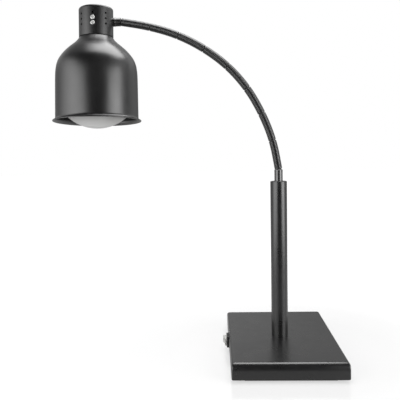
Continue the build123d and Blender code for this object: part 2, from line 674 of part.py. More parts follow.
def bulb_cap():
    shell = rod(BULB_CAP_R, BULB_CAP_BASE, BULB_CAP_TOP)
    taper = BULB_TIP_LENGTH - 4.0
    shell += Pos(0, 0, BULB_CAP_TOP + taper / 2) * Cone(BULB_CAP_R, 9.0, taper)
    shell -= rod(BULB_CAP_R - 0.9, BULB_CAP_BASE - 1, BULB_CAP_TOP - 0.5)
    return in_head(shell)


def bulb_insulator():
    low = BULB_TIP - 4.0
    return in_head(Pos(0, 0, low + 1.5) * Cone(8.8, 5.5, 3.0))


def bulb_contact():
    base = rod(4.5, BULB_TIP - 1.0, BULB_TIP)
    return in_head(fillet(base.edges().group_by(Axis.Z)[-1], 0.8))


# Switch
def switch_place():
    """X runs out of the left wall, Y along the base, at the switch's centre."""
    return Plane(origin=(LEFT, SWITCH_Y, MID_Z), x_dir=(-1, 0, 0), z_dir=(0, 0, 1)).location


def switch_body():
    """Snap-in body with its frame, rocker well, side clips and two tabs."""
    length, height = SWITCH_FRAME
    frame = between(0, SWITCH_FRAME_H, -length / 2, length / 2, -height / 2, height / 2)
    frame = fillet(frame.edges().filter_by(Axis.X), 2.0)
    frame = fillet(frame.faces().sort_by(Axis.X)[-1].edges(), 1.2)
    body_l, body_h = SWITCH_BODY
    body = between(-SWITCH_DEPTH, 0.01, -body_l / 2, body_l / 2, -body_h / 2, body_h / 2)
    well_l, well_h = SWITCH_WELL
    well = between(SWITCH_FRAME_H - SWITCH_WELL_DEPTH, SWITCH_FRAME_H + 1, -well_l / 2,
                   well_l / 2, -well_h / 2, well_h / 2)
    pins = Pos(ROCKER_PIVOT, 0, 0) * Cylinder(PIN_R + 0.2, SWITCH_WELL[1] + 3.0)
    tabs = [between(-SWITCH_DEPTH - 8.0, -SWITCH_DEPTH + 0.01, y - 0.4, y + 0.4, -3.2, 3.2)
            for y in (-5.0, 5.0)]
    return switch_place() * (frame + body - well - pins + tabs)


def rocker():
    """Light rocker with a dished face, pressed in at its front end."""
    half = ROCKER_LENGTH / 2
    outline = make_face(Polyline((ROCKER_HEIGHT, -half), (ROCKER_HEIGHT - ROCKER_DIP, 0),
                                 (ROCKER_HEIGHT, half), (2.5, half - 0.3), (-3.5, half - 3.0),
                                 (-3.5, 3.0 - half), (2.5, 0.3 - half), close=True))
    block = extrude(outline, ROCKER_WIDTH / 2, both=True)
    block = fillet(block.edges().filter_by(Axis.Z).group_by(Axis.X)[-1], 1.0)
    block += Cylinder(PIN_R, SWITCH_WELL[1] + 2.0)
    return switch_place() * Pos(ROCKER_PIVOT, 0, 0) * Rot(0, 0, ROCKER_THROW / 2) * block


# Gland and terminals
def gland_place():
    """Z runs out of the rear wall at the gland's axis."""
    return Plane(origin=(GLAND_X, REAR, GLAND_Z), x_dir=(1, 0, 0), z_dir=(0, 1, 0)).location


def gland_body():
    body = hex_nut(GLAND_AF, GLAND_BORE, 0, 4.0) + rod(GLAND_R, -SHEET - 9.0, 0.01)
    body += rod(GLAND_R - 0.5, 3.99, 10.0)
    return gland_place() * (body - rod(GLAND_BORE, -20, 20))


def gland_dome():
    dome = rod(GLAND_R + 1.8, 4.2, 15.0)
    dome = fillet(dome.edges().group_by(Axis.Z)[-1], 3.5)
    dome -= rod(GLAND_R - 0.4, 4, 11.0)
    return gland_place() * (dome - rod(GLAND_BORE, 0, 20))


def gland_locknut():
    return gland_place() * hex_nut(GLAND_AF, GLAND_R, -SHEET - 4.0, -SHEET)


def terminal_cells():
    return [TERMINAL_X + k * TERMINAL_PITCH for k in (-1, 0, 1)]


def terminal_block():
    """Three-way block on the bottom plate, wires in from front and rear."""
    length, width, height = TERMINAL_SIZE
    z0 = COVER_BOTTOM
    y0, y1 = TERMINAL_Y - width / 2, TERMINAL_Y + width / 2
    block = between(TERMINAL_X - length / 2, TERMINAL_X + length / 2, y0, y1, z0, z0 + 5)
    for x in terminal_cells():
        cell = between(x - 4, x + 4, y0, y1, z0 + 4.9, z0 + height)
        cell -= Pos(x, TERMINAL_Y, z0 + 8) * Rot(90, 0, 0) * Cylinder(1.8, width + 2)
        for y in (TERMINAL_Y - width / 4, TERMINAL_Y + width / 4):
            cell -= rod(1.9, z0 + 8, z0 + height + 1, x, y)
        block += cell
    return block


def terminal_screws():
    top = COVER_BOTTOM + TERMINAL_SIZE[2]
    return [rod(1.6, top - 3.2, top - 0.6, x, TERMINAL_Y + side * TERMINAL_SIZE[1] / 4)
            for x in terminal_cells() for side in (-1, 1)]


def earth_stud():
    return rod(2.0, UNDER_TOP - 14.0, UNDER_TOP, EARTH_X, EARTH_Y)


def earth_washer():
    return tube(4.5, 2.0, UNDER_TOP - 5.8, UNDER_TOP - 5.0, EARTH_X, EARTH_Y)


def earth_nut():
    return hex_nut(7.0, 2.0, UNDER_TOP - 9.0, UNDER_TOP - 5.8, EARTH_X, EARTH_Y)


# Inner leads
def lead(radius, bend, *points):
    """Round lead along straight runs joined by arcs of one radius."""
    path = FilletPolyline(*points, radius=bend)
    start = Plane(origin=path @ 0, z_dir=path % 0)
    return sweep(start * Circle(radius), path=path)


def switch_leads():
    """Two cores from the terminals, under the ballast, to the switch's tabs."""
    leads = []
    z = COVER_BOTTOM + 8.0
    tab_x = LEFT + SWITCH_DEPTH + 8.5
    for x, tab_y, turn_x in zip(terminal_cells()[:2], (SWITCH_Y + 5.0, SWITCH_Y - 5.0),
                                (BALLAST_X0 + 12.0, BALLAST_X0 + 18.0)):
        leads.append(lead(LEAD_R, 5.0,
                          (x, TERMINAL_Y - 5.0, z), (x, BALLAST_Y1 - 8.0, z),
                          (turn_x, BALLAST_Y1 / 2, z), (turn_x, tab_y, z),
                          (turn_x - 12.0, tab_y, MID_Z), (tab_x, tab_y, MID_Z)))
    return leads


def post_cable():
    """Sheathed cable from beside the terminals, up through the stem and post."""
    z = COVER_BOTTOM + CABLE_R + 0.3
    top = FIRST_KNUCKLE.Z - KNUCKLE_R - 4.0
    return lead(CABLE_R, CABLE_BEND, (POST_X, TERMINAL_Y - 18.0, z), (POST_X, 0, z),
                (POST_X, 0, top))


def head_leads():
    """Two cores from the nipple's bore, over the strap, to the lampholder's top."""
    rise_x, over = HOLDER_TOP_R + 4.6, HOLDER_TOP + 6.5
    return [in_head(lead(LEAD_R, 2.5, (CAP_R - 2.0, y, ARM_HEIGHT), (rise_x, y, ARM_HEIGHT),
                         (rise_x, y, over), (HOLDER_TOP_R - 3.0, y, over),
                         (HOLDER_TOP_R - 3.0, y, HOLDER_TOP)))
            for y in (-1.6, 1.6)]


PIECES = {
    "base_cover": base_cover,
    "bottom_plate": bottom_plate,
    "plate_screws": plate_screws,
    "plate_nuts": plate_nuts,
    "feet": feet,
    "foot_screws": foot_screws,
    "clinch_nuts": clinch_nuts,
    "ballast_plate": ballast_plate,
    "ballast_studs": ballast_studs,
    "ballast_nuts": ballast_nuts,
    "post_tube": post_tube,
    "post_stem": post_stem,
    "stem_washer": stem_washer,
    "stem_nut": stem_nut,
    "post_bush": post_bush,
    "switch_body": switch_body,
    "rocker": rocker,
    "gland_body": gland_body,
    "gland_dome": gland_dome,
    "gland_locknut": gland_locknut,
    "terminal_block": terminal_block,
    "terminal_screws": terminal_screws,
    "earth_stud": earth_stud,
    "earth_washer": earth_washer,
    "earth_nut": earth_nut,
    "switch_leads": switch_leads,
    "post_cable": post_cable,
    "head_leads": head_leads,
    "neck_ferrule": neck_ferrule,
    "ferrule_clip": ferrule_clip,
    "neck_end": neck_end,
    "arm_nut": arm_nut,
    "arm_seat": arm_seat,
    "arm_saddle": arm_saddle,
    "shade": shade,
    "cap": cap,
    "cap_screws": cap_screws,
    "holder_bracket": holder_bracket,
    "bracket_nuts": bracket_nuts,
    "lampholder": lampholder,
    "holder_shell": holder_shell,
    "holder_contact": holder_contact,
    "holder_screws": holder_screws,
    "shade_ring": shade_ring,
    "bulb_glass": bulb_glass,
    "bulb_cap": bulb_cap,
    "bulb_insulator": bulb_insulator,
    "bulb_contact": bulb_contact,
}
for number in range(1, len(NECK_BENDS)):
    PIECES[f"neck_span_{number}"] = lambda index=number - 1: neck_span(index)


def as_node(made):
    """One shape for the file: a group of like solids stays a compound."""
    if isinstance(made, list):
        return Compound(children=[part for item in made for part in item.solids()])
    return made


os.makedirs("parts", exist_ok=True)
for name, make in PIECES.items():
    node = as_node(make())
    export_step(node, f"parts/{name}.step")
    print(f"{name}: {len(node.solids())} solid(s), {node.volume:.1f} mm3")
print("knuckles", [tuple(round(v, 2) for v in k) for k in KNUCKLES])
print("arm point", tuple(ARM_POINT), "direction", tuple(ARM_DIRECTION))
print("head origin", tuple(HEAD.origin), "axis", tuple(HEAD.z_dir), "x", tuple(HEAD.x_dir))
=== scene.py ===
import bisect
import logging
import math
from dataclasses import dataclass
from functools import lru_cache
from typing import Mapping, Sequence

import bmesh
import bpy
from mathutils import Matrix, Vector


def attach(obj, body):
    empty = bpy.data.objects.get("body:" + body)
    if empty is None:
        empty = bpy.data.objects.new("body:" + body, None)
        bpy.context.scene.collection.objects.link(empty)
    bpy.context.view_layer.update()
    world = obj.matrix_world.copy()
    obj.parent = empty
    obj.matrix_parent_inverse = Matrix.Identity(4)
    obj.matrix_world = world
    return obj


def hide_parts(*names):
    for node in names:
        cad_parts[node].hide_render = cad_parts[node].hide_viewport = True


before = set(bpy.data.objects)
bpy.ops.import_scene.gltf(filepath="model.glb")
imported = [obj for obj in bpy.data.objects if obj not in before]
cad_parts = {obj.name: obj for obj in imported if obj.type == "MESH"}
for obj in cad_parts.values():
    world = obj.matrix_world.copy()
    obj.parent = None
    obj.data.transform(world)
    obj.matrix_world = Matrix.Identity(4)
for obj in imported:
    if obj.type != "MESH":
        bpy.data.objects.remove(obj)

LOG = logging.getLogger("heat_lamp")
MM = 0.001
MERGE = 1e-3               # points closer than this are one, in millimetres
NO_MOVE = Matrix.Identity(4)


# CAD bodies that the pieces of this scene ride on
BASE_BODY, ROCKER_BODY, NECK_TIP_BODY, HEAD_BODY = "base", "switch_rocker", "neck_tip", "head"

# Places shared with the part's source, in millimetres
NECK_BENDS = (10.3, 11.0, 8.1, 11.3, 11.8, 9.2, 10.5, 7.2, 10.2)
NECK_SPAN = 55.9
NECK_START = Vector((-2.0, 0.0, 338.3 + 22.0))
NECK_GAP = 7.4 * math.tan(math.radians(10.0)) + 0.2
END_LENGTH = 16.1
CAP_R = 32.7
HEAD_TILT = math.radians(4.7)


def lean_direction(degrees: float) -> Vector:
    """Unit vector that leans from +Z towards -X by an angle."""
    angle = math.radians(degrees)
    return Vector((-math.sin(angle), 0.0, math.cos(angle)))


@dataclass(frozen=True)
class NeckChain:
    """Knuckles of the neck and the direction of the piece above each."""

    knuckles: tuple[Vector, ...]
    directions: tuple[Vector, ...]

    @classmethod
    def standing(cls) -> "NeckChain":
        """The chain as the neck stands at rest."""
        point, lean = NECK_START + Vector((0, 0, NECK_GAP)), 0.0
        knuckles, directions = [], []
        for bend in NECK_BENDS:
            lean += bend
            knuckles.append(point)
            directions.append(lean_direction(lean))
            point = point + directions[-1] * NECK_SPAN
        return cls(tuple(knuckles), tuple(directions))

    def middle(self, index: int) -> Vector:
        """Middle of the span above a knuckle, counted from 0."""
        return self.knuckles[index] + self.directions[index] * (NECK_SPAN / 2)


CHAIN = NeckChain.standing()


def head_matrix() -> Matrix:
    """Place of the head's own frame: Z up the shade's axis, X towards the neck.

    Returns:
        The matrix from the head's millimetres to the row frame's millimetres.
    """
    toward = -CHAIN.directions[-1]
    upright = -Vector((0, 1, 0)).cross(toward)
    axis = upright * math.cos(HEAD_TILT) + Vector((0, 1, 0)) * math.sin(HEAD_TILT)
    arm_point = CHAIN.knuckles[-1] + CHAIN.directions[-1] * END_LENGTH
    origin = arm_point - toward * CAP_R - axis * ARM_HEIGHT
    side = axis.cross(toward)
    return Matrix.Translation(origin) @ Matrix((toward, side, axis)).transposed().to_4x4()


# Head heights above the rim's plane, as the part's source derives them
DOME_TOP = 86.0 + math.sqrt(72.0 ** 2 - (41.0 - 78.0 + 72.0) ** 2)
SPIGOT_BASE = DOME_TOP + 12.0
SPIGOT_TOP = SPIGOT_BASE + 8.2
CAP_BASE = SPIGOT_BASE + 0.1
ARM_HEIGHT = CAP_BASE + 28.8
VENT_HEIGHTS = tuple(CAP_BASE + rise for rise in (20.1, 30.0, 39.9))
HEAD = head_matrix()


Pair = tuple[float, float]
Triple = tuple[float, float, float]
Points = tuple[Pair, ...]
Socket = bpy.types.NodeSocket
Mesh, Face, Edge = bmesh.types.BMesh, bmesh.types.BMFace, bmesh.types.BMEdge


# Node graphs
class Nodes:
    """Short calls for what the node trees repeat; each gives an output socket."""

    def __init__(self, tree: bpy.types.NodeTree) -> None:
        """Works on a node tree."""
        self.tree = tree

    def feed(self, node: bpy.types.Node, into: str | int, value: object) -> None:
        """Links an input to a socket, or sets it to a plain value."""
        if isinstance(value, Socket):
            self.tree.links.new(value, node.inputs[into])
        else:
            node.inputs[into].default_value = value

    def add(self, kind: str, inputs: Mapping[str | int, object] | None = None,
            out: str | int = 0, **settings: object) -> Socket:
        """Adds a node.

        Args:
            kind: Blender's name of the node type, without its first part.
            inputs: sockets or values for its inputs.
            out: the output that is wanted.
            settings: properties of the node.

        Returns:
            The output.
        """
        made = self.tree.nodes.new(f"ShaderNode{kind}")
        for key, value in settings.items():
            setattr(made, key, value)
        for key, value in (inputs or {}).items():
            self.feed(made, key, value)
        return made.outputs[out]

    def end(self, kind: str, surface: Socket) -> None:
        """Adds the tree's output node."""
        self.feed(self.tree.nodes.new(f"ShaderNode{kind}"), "Surface", surface)

    def ramp(self, value: Socket, low: float, high: float, start: float = 0.3,
             end: float = 0.7, **settings: object) -> Socket:
        """Maps a value to a range.

        Args:
            value: the value.
            low: result at start.
            high: result at end.
            start: lower end of the value.
            end: upper end of the value.
            settings: properties of the node.

        Returns:
            The result.
        """
        return self.add("MapRange", {"Value": value, "From Min": start, "From Max": end,
                                     "To Min": low, "To Max": high}, **settings)

    def maths(self, operation: str, first: Socket, second: Socket | float = 0.0) -> Socket:
        """One step of arithmetic."""
        return self.add("Math", {0: first, 1: second}, operation=operation)

    def mix(self, factor: Socket, first: Socket | float, second: Socket | float) -> Socket:
        """Value between two by a factor."""
        return self.add("Mix", {0: factor, 2: first, 3: second})

    def axis(self, coords: Socket, name: str) -> Socket:
        """One coordinate of three."""
        return self.add("SeparateXYZ", {0: coords}, name)

    def rays(self, *kinds: str) -> Socket:
        """1 for rays of these kinds, and 0 for others."""
        total = self.add("LightPath", out=f"Is {kinds[0]} Ray")
        for kind in kinds[1:]:
            total = self.add("Math", {0: total, 1: self.add("LightPath", out=f"Is {kind} Ray")},
                             operation="ADD", use_clamp=True)
        return total


class Graph(Nodes):
    """Node tree of one material, with a Principled shader at its end."""

    def __init__(self, name: str) -> None:
        """Starts an empty tree for a material of this name."""
        self.material = bpy.data.materials.new(name)
        self.material.use_nodes = True
        super().__init__(self.material.node_tree)
        self.tree.nodes.clear()
        self.shader = self.tree.nodes.new("ShaderNodeBsdfPrincipled")
        self.end("OutputMaterial", self.shader.outputs["BSDF"])

    def set(self, **values: object) -> None:
        """Feeds inputs of the shader; an underscore stands for a space."""
        for key, value in values.items():
            self.feed(self.shader, key.replace("_", " "), value)

    def place(self, matrix: Matrix = NO_MOVE, stretch: Triple = (1.0, 1.0, 1.0)) -> Socket:
        """Coordinates on the piece.

        Args:
            matrix: frame in millimetres that the coordinates are given in.
            stretch: how far each axis is stretched.

        Returns:
            The coordinates in metres.
        """
        return self.add("Mapping", {"Vector": self.add("TexCoord", out="Object"),
                                    "Location": matrix.to_translation() * MM,
                                    "Rotation": matrix.to_euler(), "Scale": stretch},
                        vector_type="TEXTURE")

    def noise(self, coords: Socket, grain: float, detail: float = 2.0) -> Socket:
        """Noise of a grain size in millimetres."""
        return self.add("TexNoise", {"Vector": coords, "Scale": 1.0 / (grain * MM),
                                     "Detail": detail})

    def tint(self, factor: Socket, dark: Triple | Socket, light: Triple) -> Socket:
        """Colour between two by a factor."""
        first = dark if isinstance(dark, Socket) else (*dark, 1.0)
        return self.add("Mix", {0: factor, 6: first, 7: (*light, 1.0)}, 2, data_type="RGBA")

    def bump(self, height: Socket, strength: float, depth: float) -> None:
        """Adds a share of some relief, of a depth in millimetres, over earlier relief."""
        normal = self.shader.inputs["Normal"]
        inputs = {"Strength": strength, "Distance": depth * MM, "Height": height}
        if normal.is_linked:
            inputs["Normal"] = normal.links[0].from_socket
        self.set(Normal=self.add("Bump", inputs))


@dataclass(frozen=True)
class Finish:
    """A finish; its material is made once."""

    name: str
    colour: Triple
    roughness: float
    tones: Pair = (0.9, 1.08)
    drift: Pair = (-0.04, 0.06)

    def shaded(self, factor: float) -> Triple:
        """The finish's colour made darker or lighter by a factor."""
        return tuple(min(1.0, part * factor) for part in self.colour)

    def tone(self, graph: Graph, factor: Socket) -> Socket:
        """The colour's slight change by a factor."""
        return graph.tint(factor, *(self.shaded(tone) for tone in self.tones))

    def gloss(self, graph: Graph, factor: Socket) -> Socket:
        """The roughness' slight change by a factor."""
        return graph.ramp(factor, *(self.roughness + part for part in self.drift))

    def dress(self, graph: Graph) -> None:
        """Adds the finish's own nodes to the graph."""
        raise NotImplementedError

    @property
    def material(self) -> bpy.types.Material:
        """The finish's material."""
        return _material_of(self)


@lru_cache(maxsize=None)
def _material_of(finish: Finish) -> bpy.types.Material:
    """Builds a finish's material the first time it is asked for."""
    graph = Graph(finish.name)
    finish.dress(graph)
    return graph.material


@dataclass(frozen=True)
class PowderCoat(Finish):
    """Baked powder coat: a faint orange peel over near-black, with cloudy gloss."""

    tones: Pair = (0.86, 1.14)
    drift: Pair = (-0.025, 0.025)
    cloud: float = 24.0
    grain: float = 1.1
    relief: float = 0.05
    level: float = 0.5
    lacquer: float = 0.0
    rings: bool = False
    ring_grain: float = 1.6

    def dress(self, graph: Graph) -> None:
        """Adds colour clouds, gloss clouds, the coat's fine relief and any spinning rings."""
        coords = graph.place()
        clouds = graph.noise(coords, self.cloud, 3.0)
        graph.set(Base_Color=self.tone(graph, clouds), Roughness=self.gloss(graph, clouds),
                  Specular_IOR_Level=self.level, Coat_Weight=self.lacquer,
                  Coat_Roughness=self.roughness * 0.7)
        graph.bump(graph.noise(coords, self.grain), 0.35, self.relief)
        if self.rings:
            marks = graph.add("TexNoise", {
                "Scale": 1.0 / (self.ring_grain * MM), "Detail": 3.0,
                "W": graph.axis(graph.place(HEAD), "Z")}, noise_dimensions="1D")
            graph.bump(marks, 0.25, 0.03)


@dataclass(frozen=True)
class RibbedSheath(Finish):
    """Coated spiral sheath: glossy crests over dull grooves, which are darkened by painted
    shade.
    """

    # painted shade: the grooves between the ribs get this darker colour
    painted_groove_shade: Triple = (0.004, 0.004, 0.004)
    groove_roughness: float = 0.6

    def dress(self, graph: Graph) -> None:
        """Reads the sheath's own crest attribute for colour and gloss."""
        crest = graph.add("Attribute", out="Fac", attribute_name="crest")
        # painted shade: the colour runs from dark in the grooves to the finish's colour on the
        # crests
        graph.set(Base_Color=graph.tint(crest, self.painted_groove_shade, self.colour),
                  Roughness=graph.ramp(crest, self.groove_roughness, self.roughness, 0.0, 1.0),
                  Specular_IOR_Level=1.0)
        graph.bump(graph.noise(graph.place(), 0.5), 0.2, 0.02)


@dataclass(frozen=True)
class BareMetal(Finish):
    """Plated or bare metal with fine drawn marks along one axis."""

    tones: Pair = (0.88, 1.08)
    drift: Pair = (-0.05, 0.07)
    stretch: Triple = (1.0, 1.0, 8.0)
    grain: float = 0.35
    metal: float = 1.0

    def dress(self, graph: Graph) -> None:
        """Adds stretched marks to colour, gloss and relief."""
        marks = graph.noise(graph.place(stretch=self.stretch), self.grain, 3.0)
        graph.set(Metallic=self.metal, Base_Color=self.tone(graph, marks),
                  Roughness=self.gloss(graph, marks))
        graph.bump(marks, 0.15, 0.01)


@dataclass(frozen=True)
class Moulding(Finish):
    """Moulded plastic or rubber with a fine eroded texture."""

    cloud: float = 9.0
    grain: float = 0.45
    relief: float = 0.03
    sheen: float = 0.5

    def dress(self, graph: Graph) -> None:
        """Adds the mould's texture and slight colour drift."""
        coords = graph.place()
        pits = graph.noise(coords, self.grain)
        graph.set(Base_Color=self.tone(graph, graph.noise(coords, self.cloud)),
                  Roughness=self.gloss(graph, pits), Specular_IOR_Level=self.sheen)
        graph.bump(pits, 0.3, self.relief)


@dataclass(frozen=True)
class Glaze(Finish):
    """Glazed ceramic: pale, glossy, with small specks."""

    speck: float = 0.8
    speck_tone: float = 0.7
    wave: float = 5.0

    def dress(self, graph: Graph) -> None:
        """Adds specks and a soft waviness."""
        coords = graph.place()
        dots = graph.ramp(graph.noise(coords, self.speck, 4.0), 0.0, 1.0, 0.66, 0.7)
        graph.set(Base_Color=graph.tint(dots, self.colour, self.shaded(self.speck_tone)),
                  Roughness=self.roughness, Coat_Weight=0.6, Coat_Roughness=0.08)
        graph.bump(graph.noise(coords, self.wave), 0.1, 0.1)


@dataclass(frozen=True)
class ReflectorGlass(Finish):
    """Bulb's glass: frosted on its face, with painted shade higher up, and silvered behind its
    widest circle.
    """

    tones: Pair = (0.96, 1.03)
    silver: Triple = (0.72, 0.72, 0.7)
    silver_roughness: float = 0.14
    # painted shade: the colour that the frosted face darkens to higher up, under the shade
    painted_shade_colour: Triple = (0.33, 0.33, 0.325)
    painted_shade_rise: Pair = (-13.0, 6.0)
    silver_rise: Pair = (16.0, 24.0)
    grain: float = 0.7

    def dress(self, graph: Graph) -> None:
        """Darkens the frost with painted shade, then turns it into silver, by the height in the
        head's frame.
        """
        head = graph.place(HEAD)
        height = graph.axis(head, "Z")
        coat, painted_shade = (graph.ramp(height, 0.0, 1.0, *(part * MM for part in rise))
                      for rise in (self.silver_rise, self.painted_shade_rise))
        grain = graph.noise(head, self.grain, 3.0)
        # painted shade: the frost darkens with height towards the shade's mouth
        face = graph.tint(painted_shade, self.tone(graph, grain), self.painted_shade_colour)
        graph.set(Base_Color=graph.tint(coat, face, self.silver), Metallic=coat,
                  Roughness=graph.ramp(coat, self.roughness, self.silver_roughness, 0.0, 1.0),
                  Coat_Weight=0.35, Coat_Roughness=0.12)
        graph.bump(grain, 0.25, 0.03)


BLACK: Triple = (0.006, 0.006, 0.0062)
COAT = PowderCoat("black_coat", BLACK, 0.29, level=1.0)
SHADE_COAT = PowderCoat("shade_coat", BLACK, 0.32, relief=0.035, level=1.0, rings=True)
SLEEVE = PowderCoat("neck_sleeve_coat", (0.01, 0.01, 0.01), 0.24, relief=0.01, level=1.0,
                    lacquer=0.6)
SHEATH = RibbedSheath("ribbed_sheath", (0.012, 0.012, 0.0125), 0.14)
PRIMED = PowderCoat("primed_plate", (0.12, 0.12, 0.125), 0.6, relief=0.08)
ZINC = BareMetal("zinc_plate", (0.66, 0.67, 0.68), 0.28)
BRIGHT = BareMetal("bright_screw", (0.8, 0.8, 0.79), 0.4, metal=0.7)
NICKEL = BareMetal("nickel_plate", (0.62, 0.6, 0.56), 0.22)
BRASS = BareMetal("bare_brass", (0.66, 0.48, 0.2), 0.3)
RUBBER = Moulding("foot_rubber", (0.018, 0.018, 0.018), 0.75, sheen=0.25)
PLASTIC = Moulding("black_moulding", (0.012, 0.012, 0.012), 0.42)
ROCKER_PLASTIC = Moulding("rocker_moulding", (0.62, 0.62, 0.6), 0.3, relief=0.01)
MARK_PAINT = Moulding("rocker_mark", (0.05, 0.05, 0.05), 0.5, relief=0.01)
TERMINAL_PLASTIC = Moulding("terminal_moulding", (0.72, 0.71, 0.66), 0.4)
LEAD_COVER = Moulding("lead_sleeving", (0.03, 0.03, 0.03), 0.5)
CERAMIC = Glaze("holder_glaze", (0.78, 0.75, 0.68), 0.2)
BULB_GLASS = ReflectorGlass("reflector_glass", (0.8, 0.8, 0.79), 0.3)

CARRIED_OVER: dict[Finish, tuple[str, ...]] = {
    COAT: ("bottom_plate", "post_tube", "post_bush"),
    SHADE_COAT: ("cap", "shade_ring"),
    SLEEVE: ("neck_ferrule", "neck_end", "arm_seat"),
    PRIMED: ("ballast_plate",),
    ZINC: ("foot_screws", "clinch_nuts", "plate_screws", "plate_nuts", "ballast_studs",
           "ballast_nuts", "post_stem", "stem_washer", "stem_nut", "earth_stud",
           "earth_washer", "earth_nut", "ferrule_clip", "arm_nut", "arm_saddle",
           "holder_bracket", "bracket_nuts", "holder_screws"),
    NICKEL: ("holder_shell", "bulb_cap", "bulb_contact"),
    BRASS: ("holder_contact", "terminal_screws"),
    RUBBER: ("feet",),
    PLASTIC: ("switch_body", "gland_body", "gland_locknut", "bulb_insulator"),
    TERMINAL_PLASTIC: ("terminal_block",),
    LEAD_COVER: ("switch_leads", "post_cable", "head_leads"),
    CERAMIC: ("lampholder",),
}


# Mesh helpers
ROUND_BEVEL = {"profile": 0.5, "affect": "EDGES", "material": -1, "clamp_overlap": True}


def as_data(mesh: Mesh, name: str) -> bpy.types.Mesh:
    """Turns a bmesh into mesh data and frees it."""
    data = bpy.data.meshes.new(name)
    mesh.to_mesh(data)
    mesh.free()
    return data


def linked(name: str, data: bpy.types.ID) -> bpy.types.Object:
    """Puts data into the scene as an object."""
    made = bpy.data.objects.new(name, data)
    bpy.context.scene.collection.objects.link(made)
    return made


def absorb(mesh: Mesh, other: Mesh) -> None:
    """Moves all of another bmesh into a bmesh."""
    spare = as_data(other, "spare")
    mesh.from_mesh(spare)
    bpy.data.meshes.remove(spare)


def pushed(mesh: Mesh, face: Face, rise: float) -> Face:
    """Extrudes a face along Z and gives the moved one."""
    grown = bmesh.ops.extrude_face_region(mesh, geom=[face])["geom"]
    moved = next(item for item in grown if isinstance(item, Face))
    bmesh.ops.translate(mesh, vec=(0, 0, rise), verts=moved.verts)
    return moved


def walled(mesh: Mesh, lower: list, upper: list) -> None:
    """Joins two closed rings of as many points with faces."""
    for index, vert in enumerate(lower):
        after = (index + 1) % len(lower)
        mesh.faces.new((vert, lower[after], upper[after], upper[index]))


def turn(degrees: float, axis: str) -> Matrix:
    """Rotation about an axis."""
    return Matrix.Rotation(math.radians(degrees), 4, axis)


def finished(mesh: Mesh, name: str, finish: Finish, body: str,
             replaces: Sequence[str] = (), place: Matrix = NO_MOVE,
             sharp: float = 38.0) -> bpy.types.Object:
    """Turns a bmesh in millimetres into a piece of the scene.

    Args:
        mesh: the bmesh, which is freed.
        name: the piece's name.
        finish: its finish.
        body: CAD body that it rides on.
        replaces: CAD nodes that it stands for.
        place: matrix in millimetres that puts the mesh in the row frame.
        sharp: edges that bend more than this many degrees stay sharp.

    Returns:
        The new object.
    """
    bmesh.ops.transform(mesh, matrix=place, verts=mesh.verts)
    bmesh.ops.scale(mesh, vec=(MM, MM, MM), verts=mesh.verts)
    bmesh.ops.recalc_face_normals(mesh, faces=mesh.faces)
    for face in mesh.faces:
        face.smooth = True
    for edge in mesh.edges:
        if len(edge.link_faces) == 2:
            edge.smooth = edge.calc_face_angle(0.0) < math.radians(sharp)
    data = as_data(mesh, name)
    data.materials.append(finish.material)
    piece = linked(name, data)
    if replaces:
        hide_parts(*replaces)
    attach(piece, body)
    LOG.info("piece %s: %d faces", name, len(data.polygons))
    return piece


class Profile:
    """Wire of (radius, height) points that is turned about Z."""

    def __init__(self, radius: float, height: float) -> None:
        """Starts the wire at a point."""
        self.mesh = bmesh.new()
        self.first = self.tip = self.mesh.verts.new((radius, 0.0, height))

    def line(self, *points: Sequence[float]) -> "Profile":
        """Adds straight runs through the points."""
        for radius, height in points:
            point = self.mesh.verts.new((radius, 0.0, height))
            self.mesh.edges.new((self.tip, point))
            self.tip = point
        return self

    def arc(self, centre: Pair, degrees: float, steps: int) -> "Profile":
        """Adds an arc from the tip.

        Args:
            centre: the arc's centre as (radius, height).
            degrees: its angle, positive from the axis' side towards +Z.
            steps: edges in the arc.

        Returns:
            This profile.
        """
        made = bmesh.ops.spin(self.mesh, geom=[self.tip], cent=(centre[0], 0.0, centre[1]),
                              axis=(0, -1, 0), angle=math.radians(degrees), steps=steps)
        self.tip = next(item for item in made["geom_last"]
                        if isinstance(item, bmesh.types.BMVert))
        return self

    def closed(self) -> "Profile":
        """Joins the wire's end to its start."""
        self.mesh.edges.new((self.tip, self.first))
        return self

    def turned(self, steps: int) -> Mesh:
        """Turns the wire about Z.

        Args:
            steps: flats round the full turn.

        Returns:
            The bmesh, with poles and seam merged.
        """
        geometry = [*self.mesh.verts, *self.mesh.edges]
        bmesh.ops.spin(self.mesh, geom=geometry, cent=(0, 0, 0), axis=(0, 0, 1),
                       angle=math.tau, steps=steps, use_merge=True)
        bmesh.ops.remove_doubles(self.mesh, verts=self.mesh.verts, dist=1e-4)
        bmesh.ops.dissolve_degenerate(self.mesh, edges=self.mesh.edges, dist=1e-5)
        return self.mesh


